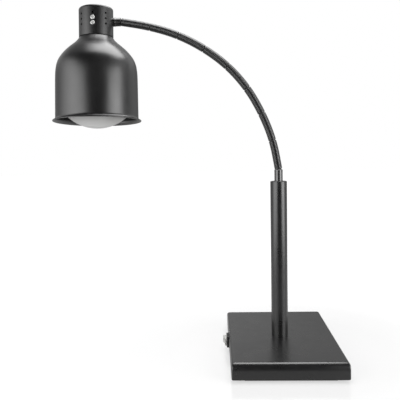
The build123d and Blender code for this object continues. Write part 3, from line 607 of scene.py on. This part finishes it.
# Neck
class NeckPath:
    """Smooth centre line of the neck through the knuckles' polygon."""

    def __init__(self, chain: NeckChain, samples: int = 48) -> None:
        """Samples one quadratic arc for each knuckle.

        Args:
            chain: the neck's knuckles.
            samples: points on each arc.
        """
        self.points: list[Vector] = []
        self.tangents: list[Vector] = []
        self.lengths: list[float] = [0.0]
        self.cuts: list[float] = [0.0]
        last = len(chain.knuckles) - 1
        for index, knuckle in enumerate(chain.knuckles):
            start = NECK_START if index == 0 else chain.middle(index - 1)
            end = (knuckle + chain.directions[last] * NECK_GAP if index == last
                   else chain.middle(index))
            self._add_arc(start, knuckle, end, samples)
            nearest = min(range(len(self.points) - samples, len(self.points)),
                          key=lambda n: (self.points[n] - knuckle).length)
            self.cuts.append(self.lengths[nearest])
        self.cuts.append(self.lengths[-1])

    def _add_arc(self, start: Vector, corner: Vector, end: Vector, samples: int) -> None:
        """Adds a quadratic arc from start to end that is pulled to corner."""
        for step in range(1 if self.points else 0, samples + 1):
            t = step / samples
            point = start * (1 - t) ** 2 + corner * (2 * t * (1 - t)) + end * t ** 2
            tangent = ((corner - start) * (1 - t) + (end - corner) * t).normalized()
            if self.points:
                self.lengths.append(self.lengths[-1] + (point - self.points[-1]).length)
            self.points.append(point)
            self.tangents.append(tangent)

    def place(self, length: float, across: float, side: float) -> Vector:
        """Point beside the centre line.

        Args:
            length: how far along the line.
            across: offset in the neck's plane.
            side: offset along +Y.

        Returns:
            The point in the row frame, in millimetres.
        """
        index = min(max(bisect.bisect_left(self.lengths, length), 1), len(self.lengths) - 1)
        low, high = self.lengths[index - 1], self.lengths[index]
        share = (length - low) / (high - low)
        point = self.points[index - 1].lerp(self.points[index], share)
        tangent = self.tangents[index - 1].lerp(self.tangents[index], share).normalized()
        normal = Vector((0, 1, 0)).cross(tangent)
        return point + normal * across + Vector((0, side, 0))


@dataclass
class RibbedNeck:
    """Spiral sheath of the neck, one length for each body between its knuckles."""

    crest: float = 7.4
    groove: float = 6.55
    pitch: float = 2.52
    flatness: float = 3.5
    sides: int = 40
    wire_steps: int = 8
    gap: float = 0.8
    end_gap: float = 0.25
    ball: float = 6.0
    socket: float = 6.35
    ball_steps: int = 12
    sharp: float = 70.0

    def rise(self, across: float) -> float:
        """Height of a rib, 0 to 1, at a place across it from -1 to 1."""
        return math.sqrt(max(0.0, 1.0 - abs(across) ** self.flatness))

    def radius(self, rise: float) -> float:
        """Radius of the sheath at a height of its ribs."""
        return self.groove + (self.crest - self.groove) * rise

    def spiral(self, start: float, end: float) -> Mesh:
        """Straight length of the sheath along Z.

        Args:
            start: where the length starts on the neck's centre line.
            end: where it ends.

        Returns:
            A bmesh with open ends, and the ribs' height as its crest attribute.
        """
        mesh = bmesh.new()
        layer = mesh.verts.layers.float.new("crest")
        first, last = math.floor(start / self.pitch) - 1, math.ceil(end / self.pitch) + 1
        earlier = None
        for turn in range(first, last):
            for step in range(self.wire_steps):
                across = -math.cos(math.pi * step / self.wire_steps)
                rise = self.rise(across)
                height = (turn + (1.0 + across) / 2) * self.pitch
                point = mesh.verts.new((self.radius(rise), 0.0, height))
                point[layer] = rise
                if earlier is not None:
                    mesh.edges.new((earlier, point))
                earlier = point
        bmesh.ops.spin(mesh, geom=[*mesh.verts, *mesh.edges], cent=(0, 0, 0), axis=(0, 0, 1),
                       dvec=(0, 0, self.pitch / self.sides), angle=math.tau, steps=self.sides)
        bmesh.ops.remove_doubles(mesh, verts=mesh.verts, dist=MERGE)
        for height, outer in ((start, False), (end, True)):
            bmesh.ops.bisect_plane(mesh, geom=[*mesh.verts, *mesh.edges, *mesh.faces],
                                   dist=1e-5, plane_co=(0, 0, height), plane_no=(0, 0, 1),
                                   clear_outer=outer, clear_inner=not outer)
        return mesh

    def rounded(self, mesh: Mesh, start: float, end: float) -> None:
        """Lets the ribs fall to the groove at a length's ends.

        Args:
            mesh: the length, straight along Z.
            start: where it starts.
            end: where it ends.
        """
        layer = mesh.verts.layers.float["crest"]
        reach = self.pitch / 2
        for vert in mesh.verts:
            depth = max(0.0, min(vert.co.z - start, end - vert.co.z))
            if depth >= reach:
                continue
            rise = self.rise(1.0 - depth / reach)
            limit = self.radius(rise) / vert.co.xy.length
            if limit < 1.0:
                vert.co.xy *= limit
                vert[layer] = min(vert[layer], rise)

    def close(self, mesh: Mesh, rim: float, centre: float, radius: float) -> None:
        """Closes a length's end with part of a ball, bulging or hollow, about a knuckle.

        Args:
            mesh: the length, straight along Z.
            rim: height of the open end.
            centre: the knuckle's height.
            radius: the ball's radius.
        """
        edges = [edge for edge in mesh.edges if edge.is_boundary
                 and all(abs(vert.co.z - rim) < MERGE * 10 for vert in edge.verts)]
        widest = math.acos((centre - rim) / radius)
        for step in range(self.ball_steps):
            angle = widest * (1.0 - step / self.ball_steps)
            made = bmesh.ops.extrude_edge_only(mesh, edges=edges)["geom"]
            edges = [item for item in made if isinstance(item, Edge)
                     and item.is_boundary]
            for vert in {vert for edge in edges for vert in edge.verts}:
                vert.co.xy *= radius * math.sin(angle) / vert.co.xy.length
                vert.co.z = centre - radius * math.cos(angle)
        bmesh.ops.holes_fill(mesh, edges=edges, sides=0)

    def build(self, path: NeckPath) -> None:
        """Makes each length of the sheath, and the ball at the neck's end.

        Args:
            path: the neck's centre line.
        """
        last = len(CHAIN.knuckles) - 1
        for index in range(1, last + 1):
            low, high = path.cuts[index], path.cuts[index + 1]
            start = low + (self.end_gap if index == 1 else self.gap)
            end = high - (self.end_gap if index == last else self.gap)
            mesh = self.spiral(start, end)
            self.rounded(mesh, start, end)
            self.close(mesh, start, low, self.ball)
            self.close(mesh, end, high, self.socket)
            for vert in mesh.verts:
                vert.co = path.place(vert.co.z, vert.co.x, vert.co.y)
            finished(mesh, f"neck_ribs_{index}", SHEATH, f"neck_{index}",
                     (f"neck_span_{index}",), sharp=self.sharp)
        ball = bmesh.new()
        bmesh.ops.create_uvsphere(ball, u_segments=self.sides, v_segments=2 * self.ball_steps,
                                  radius=self.ball,
                                  matrix=Matrix.Translation(CHAIN.knuckles[last]))
        finished(ball, "neck_end_ball", SHEATH, NECK_TIP_BODY)


# Head
def smooth_run(points: Points, steps: int) -> list[Pair]:
    """Smooth curve through points.

    Args:
        points: the (radius, height) points that the curve passes.
        steps: runs between two points.

    Returns:
        The curve's points, with both ends.
    """
    padded = [points[0], *points, points[-1]]
    run = []
    for a, b, c, d in zip(padded, padded[1:], padded[2:], padded[3:]):
        for step in range(steps):
            t = step / steps
            run.append(tuple(
                0.5 * (2 * q + (r - p) * t + (2 * p - 5 * q + 4 * r - s) * t ** 2
                       + (3 * q - p - 3 * r + s) * t ** 3)
                for p, q, r, s in zip(a, b, c, d)))
    return [*run, points[-1]]


def moved_in(points: Sequence[Pair], depth: float) -> list[Pair]:
    """Curve moved to its left-hand side by a sheet's thickness."""
    moved = []
    for index, (radius, height) in enumerate(points):
        before, after = points[max(index - 1, 0)], points[min(index + 1, len(points) - 1)]
        run, rise = after[0] - before[0], after[1] - before[1]
        size = math.hypot(run, rise)
        moved.append((radius - rise / size * depth, height + run / size * depth))
    return moved


@dataclass
class Shade:
    """Spun aluminium shade with a flared, rolled rim."""

    sheet: float = 1.2
    bead: float = 1.5
    rim: float = 84.8
    rim_run: float = 0.6
    rim_drop: float = 0.8
    lap: float = 0.1
    spigot: float = 31.4
    hole: float = 21.0
    turns: int = 180
    bell: Points = (
        (78.82, 8.0), (78.75, 15.0), (78.6, 30.0), (78.4, 50.0), (78.2, 70.0),
        (77.9, 86.0), (77.1, 97.0), (75.4, 107.0), (72.2, 116.0), (66.3, 125.2),
        (58.2, 134.4), (49.9, 141.9), (41.4, 149.0), (36.0, 154.6), (31.4, 160.9))
    flare: Points = ((81.4, 3.4), (80.1, 4.4), (79.25, 5.9))
    flare_inside: Points = ((78.0, 5.6), (78.9, 3.9), (80.5, 2.5))
    roll: float = 232.0

    def build(self) -> None:
        """Turns the shade's wall and rolls its rim."""
        outer = smooth_run(self.bell, 6)
        lip = self.rim - self.bead
        wall = Profile(lip, 2 * self.bead - self.lap).line(*self.flare, *outer)
        wall.line((self.spigot, SPIGOT_TOP), (self.hole, SPIGOT_TOP),
                  (self.hole, SPIGOT_TOP - self.sheet),
                  (self.spigot - self.sheet, SPIGOT_TOP - self.sheet))
        wall.line(*reversed(moved_in(outer, self.sheet)), *self.flare_inside,
                  (lip - self.rim_run, self.bead - self.rim_drop))
        wall.arc((lip, self.bead), self.roll, 20)
        bmesh.ops.remove_doubles(wall.mesh, verts=wall.mesh.verts, dist=MERGE)
        finished(wall.turned(self.turns), "shade_spinning", SHADE_COAT,
                 HEAD_BODY, ("shade",), HEAD, 40.0)


@dataclass
class Bulb:
    """Reflector heat bulb: a domed frosted face and a silvered back."""

    cap_base: float = SPIGOT_TOP + 7.0 - 5.0 - 7.0 - 21.0
    lowest: float = SPIGOT_TOP + 7.0 - 5.0 - 183.5
    dome: float = 84.0
    face: float = 56.5
    edge_rise: float = 35.0
    neck: float = 17.0
    neck_length: float = 10.0
    inner: float = 12.1
    shoulder: float = 0.3
    collar: float = 3.0
    turns: int = 128
    bend: Points = ((1.75, 1.8), (3.2, 4.1), (4.4, 7.2), (5.3, 11.2), (5.83, 15.6))
    back: Points = (
        (62.5, 0.0), (62.35, 8.0), (61.5, 16.0), (59.6, 25.0), (56.4, 34.0), (52.5, 44.2),
        (46.2, 54.0), (39.2, 65.0), (32.5, 78.455), (26.6, 84.0), (21.4, 93.0), (18.4, 100.0))

    def build(self) -> None:
        """Turns the glass as one closed envelope."""
        glass = Profile(0.0, self.lowest)
        glass.arc((0.0, self.lowest + self.dome),
                  math.degrees(math.asin(self.face / self.dome)), 24)
        corner, edge = glass.tip.co.copy(), self.lowest + self.edge_rise
        glass.line(*((corner.x + out, corner.z + up) for out, up in self.bend))
        glass.line(*((radius, edge + up) for radius, up in self.back))
        glass.line((self.neck, self.cap_base - self.neck_length),
                   (self.inner, self.cap_base - self.shoulder),
                   (self.inner, self.cap_base + self.collar), (0.0, self.cap_base + self.collar))
        finished(glass.turned(self.turns), "bulb_envelope", BULB_GLASS,
                 HEAD_BODY, ("bulb_glass",), HEAD, 40.0)


@dataclass
class CapScrews:
    """Two bright pan-head screws with hexagon sockets on the serving side."""

    head: float = 4.0
    height: float = 2.4
    edge: float = 1.44
    land: float = 1.12
    shank: float = 1.9
    length: float = 7.0
    socket: float = 1.8
    socket_depth: float = 1.9
    shank_lap: float = 0.05
    sides: int = 48

    def screw(self) -> Mesh:
        """One screw with its seat at Z 0 and its head above."""
        mesh = bmesh.new()
        made = bmesh.ops.create_circle(mesh, cap_ends=True, radius=self.head,
                                       segments=self.sides)
        top = pushed(mesh, made["verts"][0].link_faces[0], self.height)
        bmesh.ops.bevel(mesh, geom=list(top.edges), offset=self.edge, segments=7,
                        **ROUND_BEVEL)
        top = max(mesh.faces, key=lambda item: item.calc_center_median().z)
        bmesh.ops.inset_individual(mesh, faces=[top], thickness=self.land)
        for vert in top.verts:
            angle = math.atan2(vert.co.y, vert.co.x) % (math.pi / 3) - math.pi / 6
            vert.co.xy = vert.co.xy.normalized() * (self.socket / math.cos(angle))
        pushed(mesh, top, -self.socket_depth)
        bmesh.ops.delete(mesh, geom=[top], context="FACES_ONLY")
        bmesh.ops.create_cone(mesh, cap_ends=True, segments=24, radius1=self.shank,
                              radius2=self.shank, depth=self.length,
                              matrix=Matrix.Translation(
                                  (0, 0, self.shank_lap - self.length / 2)))
        return mesh

    def build(self) -> None:
        """Puts both screws through the cap's wall."""
        both = bmesh.new()
        for height in VENT_HEIGHTS[:2]:
            mesh = self.screw()
            seat = turn(-90, "Z") @ Matrix.Translation((CAP_R, 0, height)) @ turn(90, "Y")
            bmesh.ops.transform(mesh, matrix=seat, verts=mesh.verts)
            absorb(both, mesh)
        finished(both, "cap_screw_pair", BRIGHT, HEAD_BODY, ("cap_screws",), HEAD, 35.0)


# Base
@dataclass
class Cover:
    """Folded base cover: a deep easy bend at the front, tighter ones elsewhere."""

    width: float = 205.0
    depth: float = 305.0
    low: float = 4.0
    high: float = 34.0
    sheet: float = 1.5
    front_run: float = 11.0
    front_drop: float = 15.0
    bend: float = 6.3
    return_bend: float = 2.3
    corner: float = 2.5
    corner_steps: int = 5
    flange: float = 23.5
    post_x: float = -2.0
    stem_hole: float = 10.3
    hub_sides: int = 48
    low_steps: int = 6
    front_steps: int = 22
    bend_steps: int = 10
    wall_reach: float = 2.0
    least_row: float = 0.01
    switch_hole: tuple[float, float, float, float] = (-2.2, 22.2, 9.55, 28.45)
    gland_hole: tuple[float, float, float, float] = (-66.8, -53.2, 12.35, 25.95)

    def inset(self, height: float, run: float, drop: float, skin: float) -> float:
        """How far a wall lies inside the cover's face at a height.

        Args:
            height: the height in the row frame.
            run: the upper bend's reach inwards.
            drop: the upper bend's reach downwards.
            skin: 0 for the outer skin, or the sheet for the inner one.

        Returns:
            The distance inwards.
        """
        low = self.return_bend - skin
        over = (height - (self.high - drop)) / (drop - skin)
        under = (self.low + self.return_bend) - height
        if over > 0:
            return skin + (run - skin) * (1 - math.sqrt(max(0.0, 1 - over ** 2)))
        if under > 0:
            return skin + low - math.sqrt(max(0.0, low ** 2 - under ** 2))
        return skin

    def heights(self, skin: float) -> list[float]:
        """Heights of one skin's rings, close together in the bends."""
        low_r = self.return_bend - skin
        rows = [self.low + self.return_bend - low_r * math.cos(math.pi / 2 * k / self.low_steps)
                for k in range(self.low_steps + 1)]
        rows += [*self.switch_hole[2:], *self.gland_hole[2:]]
        for drop, steps in ((self.front_drop, self.front_steps), (self.bend, self.bend_steps)):
            rows += [self.high - drop + (drop - skin) * math.sin(math.pi / 2 * k / steps)
                     for k in range(steps + 1)]
        rows = sorted(set(round(row, 4) for row in rows))
        return [row for index, row in enumerate(rows)
                if index == 0 or row - rows[index - 1] > self.least_row]

    def ring(self, mesh: Mesh, height: float, skin: float) -> list:
        """Rounded rectangle of one skin at a height, with the holes' columns."""
        back = self.inset(height, self.bend, self.bend, skin)
        half_x, rear = self.width / 2 - back, self.depth / 2 - back
        front = self.depth / 2 - self.inset(height, self.front_run, self.front_drop, skin)
        bend = self.corner - skin
        points: list[Pair] = []
        for quarter, (sx, sy) in enumerate(((1, 1), (-1, 1), (-1, -1), (1, -1))):
            if quarter == 1:
                points += [(self.gland_hole[1], rear), (self.gland_hole[0], rear)]
            if quarter == 2:
                points += [(-half_x, self.switch_hole[1]), (-half_x, self.switch_hole[0])]
            half_y = rear if sy > 0 else front
            for step in range(self.corner_steps + 1):
                angle = math.pi / 2 * (quarter + step / self.corner_steps)
                points.append((sx * (half_x - bend) + bend * math.cos(angle),
                               sy * (half_y - bend) + bend * math.sin(angle)))
        return [mesh.verts.new((x, y, height)) for x, y in points]

    def _in_hole(self, face: Face) -> bool:
        """Whether a wall's face lies in the switch's or the gland's hole."""
        middle = face.calc_center_median()
        for hole, along, wall in ((self.switch_hole, middle.y, -middle.x - self.width / 2),
                                  (self.gland_hole, middle.x, middle.y - self.depth / 2)):
            if (abs(wall) < self.wall_reach and hole[0] < along < hole[1]
                    and hole[2] < middle.z < hole[3]):
                return True
        return False

    def skin(self, mesh: Mesh, inset: float) -> tuple[list, list]:
        """Makes one skin's walls and gives its lowest and its highest ring."""
        rings = [self.ring(mesh, height, inset) for height in self.heights(inset)]
        for lower, upper in zip(rings, rings[1:]):
            walled(mesh, lower, upper)
        return rings[0], rings[-1]

    def plate(self, mesh: Mesh, ring: list, hole: list) -> None:
        """Fills between a ring and a hole at the same height."""
        edges = [mesh.edges.get((a, b)) or mesh.edges.new((a, b))
                 for loop in (ring, hole) for a, b in zip(loop, [*loop[1:], loop[0]])]
        bmesh.ops.triangle_fill(mesh, use_beauty=True, use_dissolve=True, edges=edges)

    def build(self) -> None:
        """Joins both skins at the post's hole, the flange and the walls' holes."""
        mesh = bmesh.new()
        hub, edge_x = [], self.width / 2 - self.flange
        edge_y = self.depth / 2 - self.flange
        for inset in (0.0, self.sheet):
            low, high = self.skin(mesh, inset)
            top, floor = self.high - inset, self.low + inset
            angles = [math.tau * k / self.hub_sides for k in range(self.hub_sides)]
            circle = [mesh.verts.new((self.post_x + self.stem_hole * math.cos(angle),
                                      self.stem_hole * math.sin(angle), top))
                      for angle in angles]
            opening = [mesh.verts.new((sx * edge_x, sy * edge_y, floor))
                       for sx, sy in ((1, 1), (-1, 1), (-1, -1), (1, -1))]
            self.plate(mesh, high, circle)
            self.plate(mesh, low, opening)
            hub.append((circle, opening))
        for outer, inner in zip(*hub):
            walled(mesh, outer, inner)
        bmesh.ops.delete(mesh, geom=[face for face in mesh.faces if self._in_hole(face)],
                         context="FACES")
        rims = [edge for edge in mesh.edges if edge.is_boundary]
        bmesh.ops.bridge_loops(mesh, edges=[edge for edge in rims
                                            if edge.verts[0].co.y
                                            < self.depth / 2 - 2 * self.sheet])
        bmesh.ops.bridge_loops(mesh, edges=[edge for edge in rims if edge.is_boundary])
        finished(mesh, "cover_folding", COAT, BASE_BODY, ("base_cover",),
                 sharp=50.0)


# Switch and gland
@dataclass
class RockerSwitch:
    """Light rocker with a dished face, tilted by half its throw."""

    pivot: Triple = (-104.7, 10.0, 19.0)
    length: float = 21.0
    width: float = 15.0
    height: float = 8.0
    dip: float = 2.0
    throw: float = 18.0
    face_steps: int = 10
    flank: Points = ((2.5, 0.3), (-3.5, 3.0))
    edge: float = 0.7
    mark_place: float = 0.3
    mark_height: float = 0.02
    bar: Triple = (0.16, 0.7, 3.6)
    ring: Pair = (1.35, 2.0)

    def place(self) -> Matrix:
        """Frame at the pivot: X out of the wall, Y forward, Z up, tilted as at rest."""
        out = Matrix(((-1, 0, 0), (0, -1, 0), (0, 0, 1))).to_4x4()
        return Matrix.Translation(self.pivot) @ out @ turn(self.throw / 2, "Z")

    def build(self) -> None:
        """Makes the rocker and its two plain marks."""
        half = self.length / 2
        mesh = bmesh.new()
        rim = []
        for step in range(self.face_steps + 1):
            share = 2.0 * step / self.face_steps - 1.0
            rim.append((self.height - self.dip * (1 - share * share), share * half))
        sides = [(depth, half - inset) for depth, inset in self.flank]
        rim += sides + [(depth, -y) for depth, y in reversed(sides)]
        outline = mesh.faces.new([mesh.verts.new((x, y, -self.width / 2)) for x, y in rim])
        pushed(mesh, outline, self.width)
        bmesh.ops.recalc_face_normals(mesh, faces=mesh.faces)
        crisp = [edge for edge in mesh.edges if edge.calc_face_angle(0.0) > math.radians(30)]
        bmesh.ops.bevel(mesh, geom=crisp, offset=self.edge, segments=4, **ROUND_BEVEL)
        finished(mesh, "rocker_key", ROCKER_PLASTIC, ROCKER_BODY, ("rocker",),
                 self.place())
        self._marks()

    def _marks(self) -> None:
        """Plain bar and ring, on the two ends of the rocker's face."""
        mesh = bmesh.new()
        half, y = self.length / 2, self.length * self.mark_place
        x = self.height - self.dip * (1 - (y / half) ** 2) + self.mark_height
        slope = math.atan2(2 * self.dip * y / half ** 2, 1.0)
        bar = bmesh.ops.create_cube(mesh, size=1.0)["verts"]
        bmesh.ops.scale(mesh, vec=self.bar, verts=bar)
        bmesh.ops.transform(mesh, verts=bar, matrix=Matrix.Translation((x, y, 0))
                            @ Matrix.Rotation(-slope, 4, "Z"))
        inner, outer = self.ring
        thick = self.bar[0] / 2
        ring = Profile(inner, -thick).line((outer, -thick), (outer, thick), (inner, thick))
        turned = ring.closed().turned(32)
        seat = (Matrix.Translation((x, -y, 0)) @ Matrix.Rotation(slope, 4, "Z")
                @ turn(90, "Y"))
        bmesh.ops.transform(turned, matrix=seat, verts=turned.verts)
        absorb(mesh, turned)
        finished(mesh, "rocker_marks", MARK_PAINT, ROCKER_BODY,
                 place=self.place())


@dataclass
class GlandDome:
    """Fluted dome nut of the cord gland on the rear wall."""

    place_at: Triple = (-60.0, 152.5, 17.0)
    radius: float = 9.8
    bore: float = 4.0
    thread: float = 7.6
    thread_top: float = 11.0
    low: float = 4.2
    high: float = 15.0
    corner: float = 3.5
    flutes: int = 12
    depth: float = 0.7
    foot_edge: float = 0.5
    bore_edge: float = 0.4
    plain: float = 1.2
    long_edge: float = 3.0

    def build(self) -> None:
        """Turns the dome and presses its flutes."""
        ring = Profile(self.thread, self.low).line((self.radius - self.foot_edge, self.low),
                                                   (self.radius, self.low + self.foot_edge),
                                                   (self.radius, self.high - self.corner))
        ring.arc((self.radius - self.corner, self.high - self.corner), 90.0, 8)
        ring.line((self.bore + self.bore_edge, self.high),
                  (self.bore, self.high - self.bore_edge),
                  (self.bore, self.thread_top), (self.thread, self.thread_top)).closed()
        mesh = ring.turned(self.flutes * 8)
        bmesh.ops.subdivide_edges(mesh, cuts=2, use_grid_fill=True, edges=[
            edge for edge in mesh.edges
            if abs(edge.verts[0].co.z - edge.verts[1].co.z) > self.long_edge])
        for vert in mesh.verts:
            radius = vert.co.xy.length
            if radius > self.radius - self.plain and vert.co.z > self.low + self.plain:
                wave = 0.5 + 0.5 * math.cos(self.flutes * math.atan2(vert.co.y, vert.co.x))
                vert.co.xy *= 1.0 - self.depth * wave ** 3 / radius
        finished(mesh, "gland_dome_nut", PLASTIC, BASE_BODY, ("gland_dome",),
                 Matrix.Translation(self.place_at) @ turn(-90, "X"), 35.0)


# Studio
@dataclass(frozen=True)
class Softbox:
    """Rectangular soft lamp, brighter in its middle than at its edges."""

    name: str
    place: Triple
    size: Pair
    power: float
    aim: Triple
    core: float = 0.45

    def _shade_off(self, data: bpy.types.Light) -> None:
        """Lets the lamp's strength fall from its core to its edges."""
        data.use_nodes = True
        nodes = Nodes(data.node_tree)
        spot = nodes.add("NewGeometry", out="Parametric")
        falls = []
        for name in "XY":
            off = nodes.maths("ABSOLUTE", nodes.maths("SUBTRACT", nodes.axis(spot, name), 0.5))
            falls.append(nodes.ramp(off, 1.0, 0.0, self.core / 2, 0.5,
                                    interpolation_type="SMOOTHSTEP"))
        glow = next(node for node in data.node_tree.nodes
                    if node.bl_idname == "ShaderNodeEmission")
        nodes.feed(glow, "Strength", nodes.maths("MULTIPLY", *falls))

    def build(self) -> None:
        """Adds the lamp, turned to what it aims at."""
        data = bpy.data.lights.new(self.name, "AREA")
        data.shape, data.size, data.size_y = "RECTANGLE", *self.size
        data.energy = self.power
        self._shade_off(data)
        lamp = linked(self.name, data)
        lamp.location = self.place
        lamp.rotation_euler = (Vector(self.aim) - Vector(self.place)).to_track_quat(
            "-Z", "Y").to_euler()
        lamp.visible_camera = False


@dataclass
class Studio:
    """Pale floor, white surround, soft lamps and the photograph's camera."""

    floor_size: float = 12.0
    floor_albedo: float = 0.35
    floor_lift: float = 0.72
    floor_far: float = 1.0
    floor_gloss: float = 0.36
    gleam: float = 0.2
    gleam_roughness: float = 0.09
    front_dark: float = 0.04
    back_light: float = 0.68
    ambient: float = 0.25
    floor_fall: Pair = (-0.65, 0.1)
    floor_fade: Pair = (0.3, 0.9)
    gleam_fade: Pair = (0.22, 0.6)
    surround_fall: Pair = (-0.35, 0.55)
    camera_place: Triple = (-0.127355, -1.120587, 0.422718)
    yaw: float = -2.561
    pitch: float = 5.053
    roll: float = 1.247
    focal: float = 51.973
    shift: Pair = (0.02968, -0.02485)
    reflected: tuple[tuple[str, float, float, float, float], ...] = (
        ("X", 1.0, 0.7, 0.0, 0.22), ("X", 1.0, 2.5, 0.35, 0.8),
        ("Z", 0.5, 1.0, 0.2, 0.3), ("Z", 1.0, 0.5, 0.42, 0.6))
    lamps: tuple[Softbox, ...] = (
        Softbox("left_softbox", (-0.95, -1.1, 0.42), (2.7, 1.4), 33.0, (0.0, -1.1, 0.42)),
        Softbox("right_softbox", (1.06, -0.93, 0.4), (1.8, 1.7), 41.0, (0.0, -0.93, 0.4)),
        Softbox("top_softbox", (0.0, 0.16, 1.12), (1.15, 0.9), 17.0, (0.0, 0.16, 0.0)))

    def _away(self, nodes: Nodes, near: float, far: float, start: float, end: float) -> Socket:
        """Value that runs from near to far over two distances from the object."""
        reach = nodes.add("VectorMath", {0: nodes.add("TexCoord", out="Object")}, "Value",
                          operation="LENGTH")
        return nodes.ramp(reach, near, far, start, end)

    def _falling(self, nodes: Nodes, full: float, far: float) -> Socket:
        """Value of the floor, which reflections see fall towards the front.

        Args:
            nodes: the floor's nodes.
            full: value near the object.
            far: value well away from it.

        Returns:
            The value.
        """
        along = nodes.axis(nodes.add("TexCoord", out="Object"), "Y")
        fall = nodes.ramp(along, self.front_dark, self.floor_gloss, *self.floor_fall)
        plain = self._away(nodes, full, far, *self.floor_fade)
        return nodes.mix(nodes.rays("Glossy"), plain, fall)

    def floor(self) -> None:
        """Pale floor that keeps the object's shadow."""
        mesh = bmesh.new()
        bmesh.ops.create_grid(mesh, x_segments=1, y_segments=1, size=self.floor_size / 2)
        floor = linked("floor", as_data(mesh, "floor"))
        material = bpy.data.materials.new("studio_floor")
        material.use_nodes = True
        material.node_tree.nodes.clear()
        nodes = Nodes(material.node_tree)
        lift = nodes.maths("MULTIPLY", nodes.rays("Camera", "Glossy", "Transmission"),
                           self._falling(nodes, self.floor_lift, self.floor_far))
        albedo = self._falling(nodes, self.floor_albedo, self.floor_albedo)
        matt = nodes.add("AddShader", {0: nodes.add("BsdfDiffuse", {"Color": albedo}),
                                       1: nodes.add("Emission", {"Strength": lift})})
        gleam = nodes.add("BsdfGlossy", {"Roughness": self.gleam_roughness})
        share = self._away(nodes, self.gleam, 0.0, *self.gleam_fade)
        nodes.end("OutputMaterial", nodes.add("MixShader", {0: share, 1: matt, 2: gleam}))
        floor.data.materials.append(material)

    def surround(self) -> None:
        """White surround for the camera; in reflections it darkens towards the front."""
        world = bpy.context.scene.world = bpy.data.worlds.new("studio")
        world.use_nodes = True
        world.node_tree.nodes.clear()
        nodes = Nodes(world.node_tree)
        toward = nodes.add("TexCoord", out="Generated")
        glossy = nodes.ramp(nodes.axis(toward, "Y"), self.front_dark, self.back_light,
                            *self.surround_fall)
        for name, *ends in self.reflected:
            glossy = nodes.maths("MULTIPLY", glossy, nodes.ramp(nodes.axis(toward, name), *ends))
        strength = nodes.mix(nodes.rays("Glossy"), self.ambient, glossy)
        seen = nodes.mix(nodes.rays("Camera", "Transmission"), strength, 1.0)
        nodes.end("OutputWorld", nodes.add("Background", {"Color": (1.0, 1.0, 1.0, 1.0),
                                                          "Strength": seen}))

    def camera(self) -> None:
        """Camera at the photograph's place and angle."""
        yaw, pitch, roll = (math.radians(a) for a in (self.yaw, self.pitch, self.roll))
        ahead = Vector((math.sin(yaw) * math.cos(pitch), math.cos(yaw) * math.cos(pitch),
                        -math.sin(pitch)))
        level = Vector((math.cos(yaw), -math.sin(yaw), 0.0))
        down = ahead.cross(level)
        right = level * math.cos(roll) + down * math.sin(roll)
        low = down * math.cos(roll) - level * math.sin(roll)
        data = bpy.data.cameras.new("photo_camera")
        data.lens, data.sensor_width = self.focal, 36.0
        data.shift_x, data.shift_y = self.shift
        data.clip_start, data.clip_end = 0.01, 50.0
        camera = linked("photo_camera", data)
        aim = Matrix((right, -low, -ahead)).transposed().to_4x4()
        camera.matrix_world = Matrix.Translation(self.camera_place) @ aim
        bpy.context.scene.camera = camera

    def build(self) -> None:
        """Sets up the whole studio."""
        bpy.context.scene.view_settings.view_transform = "Standard"
        self.camera()
        self.floor()
        self.surround()
        for lamp in self.lamps:
            lamp.build()
        LOG.info("studio: %d lamps", len(self.lamps))


def dress_carried_over() -> None:
    """Gives each CAD node that stays its finish."""
    for finish, names in CARRIED_OVER.items():
        for name in names:
            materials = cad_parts[name].data.materials
            materials.clear()
            materials.append(finish.material)
    LOG.info("dressed %d CAD nodes", sum(len(names) for names in CARRIED_OVER.values()))


def main() -> None:
    """Builds the lamp's pieces and the studio."""
    logging.basicConfig(level=logging.INFO, format="%(name)s: %(message)s")
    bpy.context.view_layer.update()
    Studio().build()
    dress_carried_over()
    Cover().build()
    RibbedNeck().build(NeckPath(CHAIN))
    for piece in (Shade(), Bulb(), CapScrews(), RockerSwitch(), GlandDome()):
        piece.build()


if __name__ == "__main__":
    main()
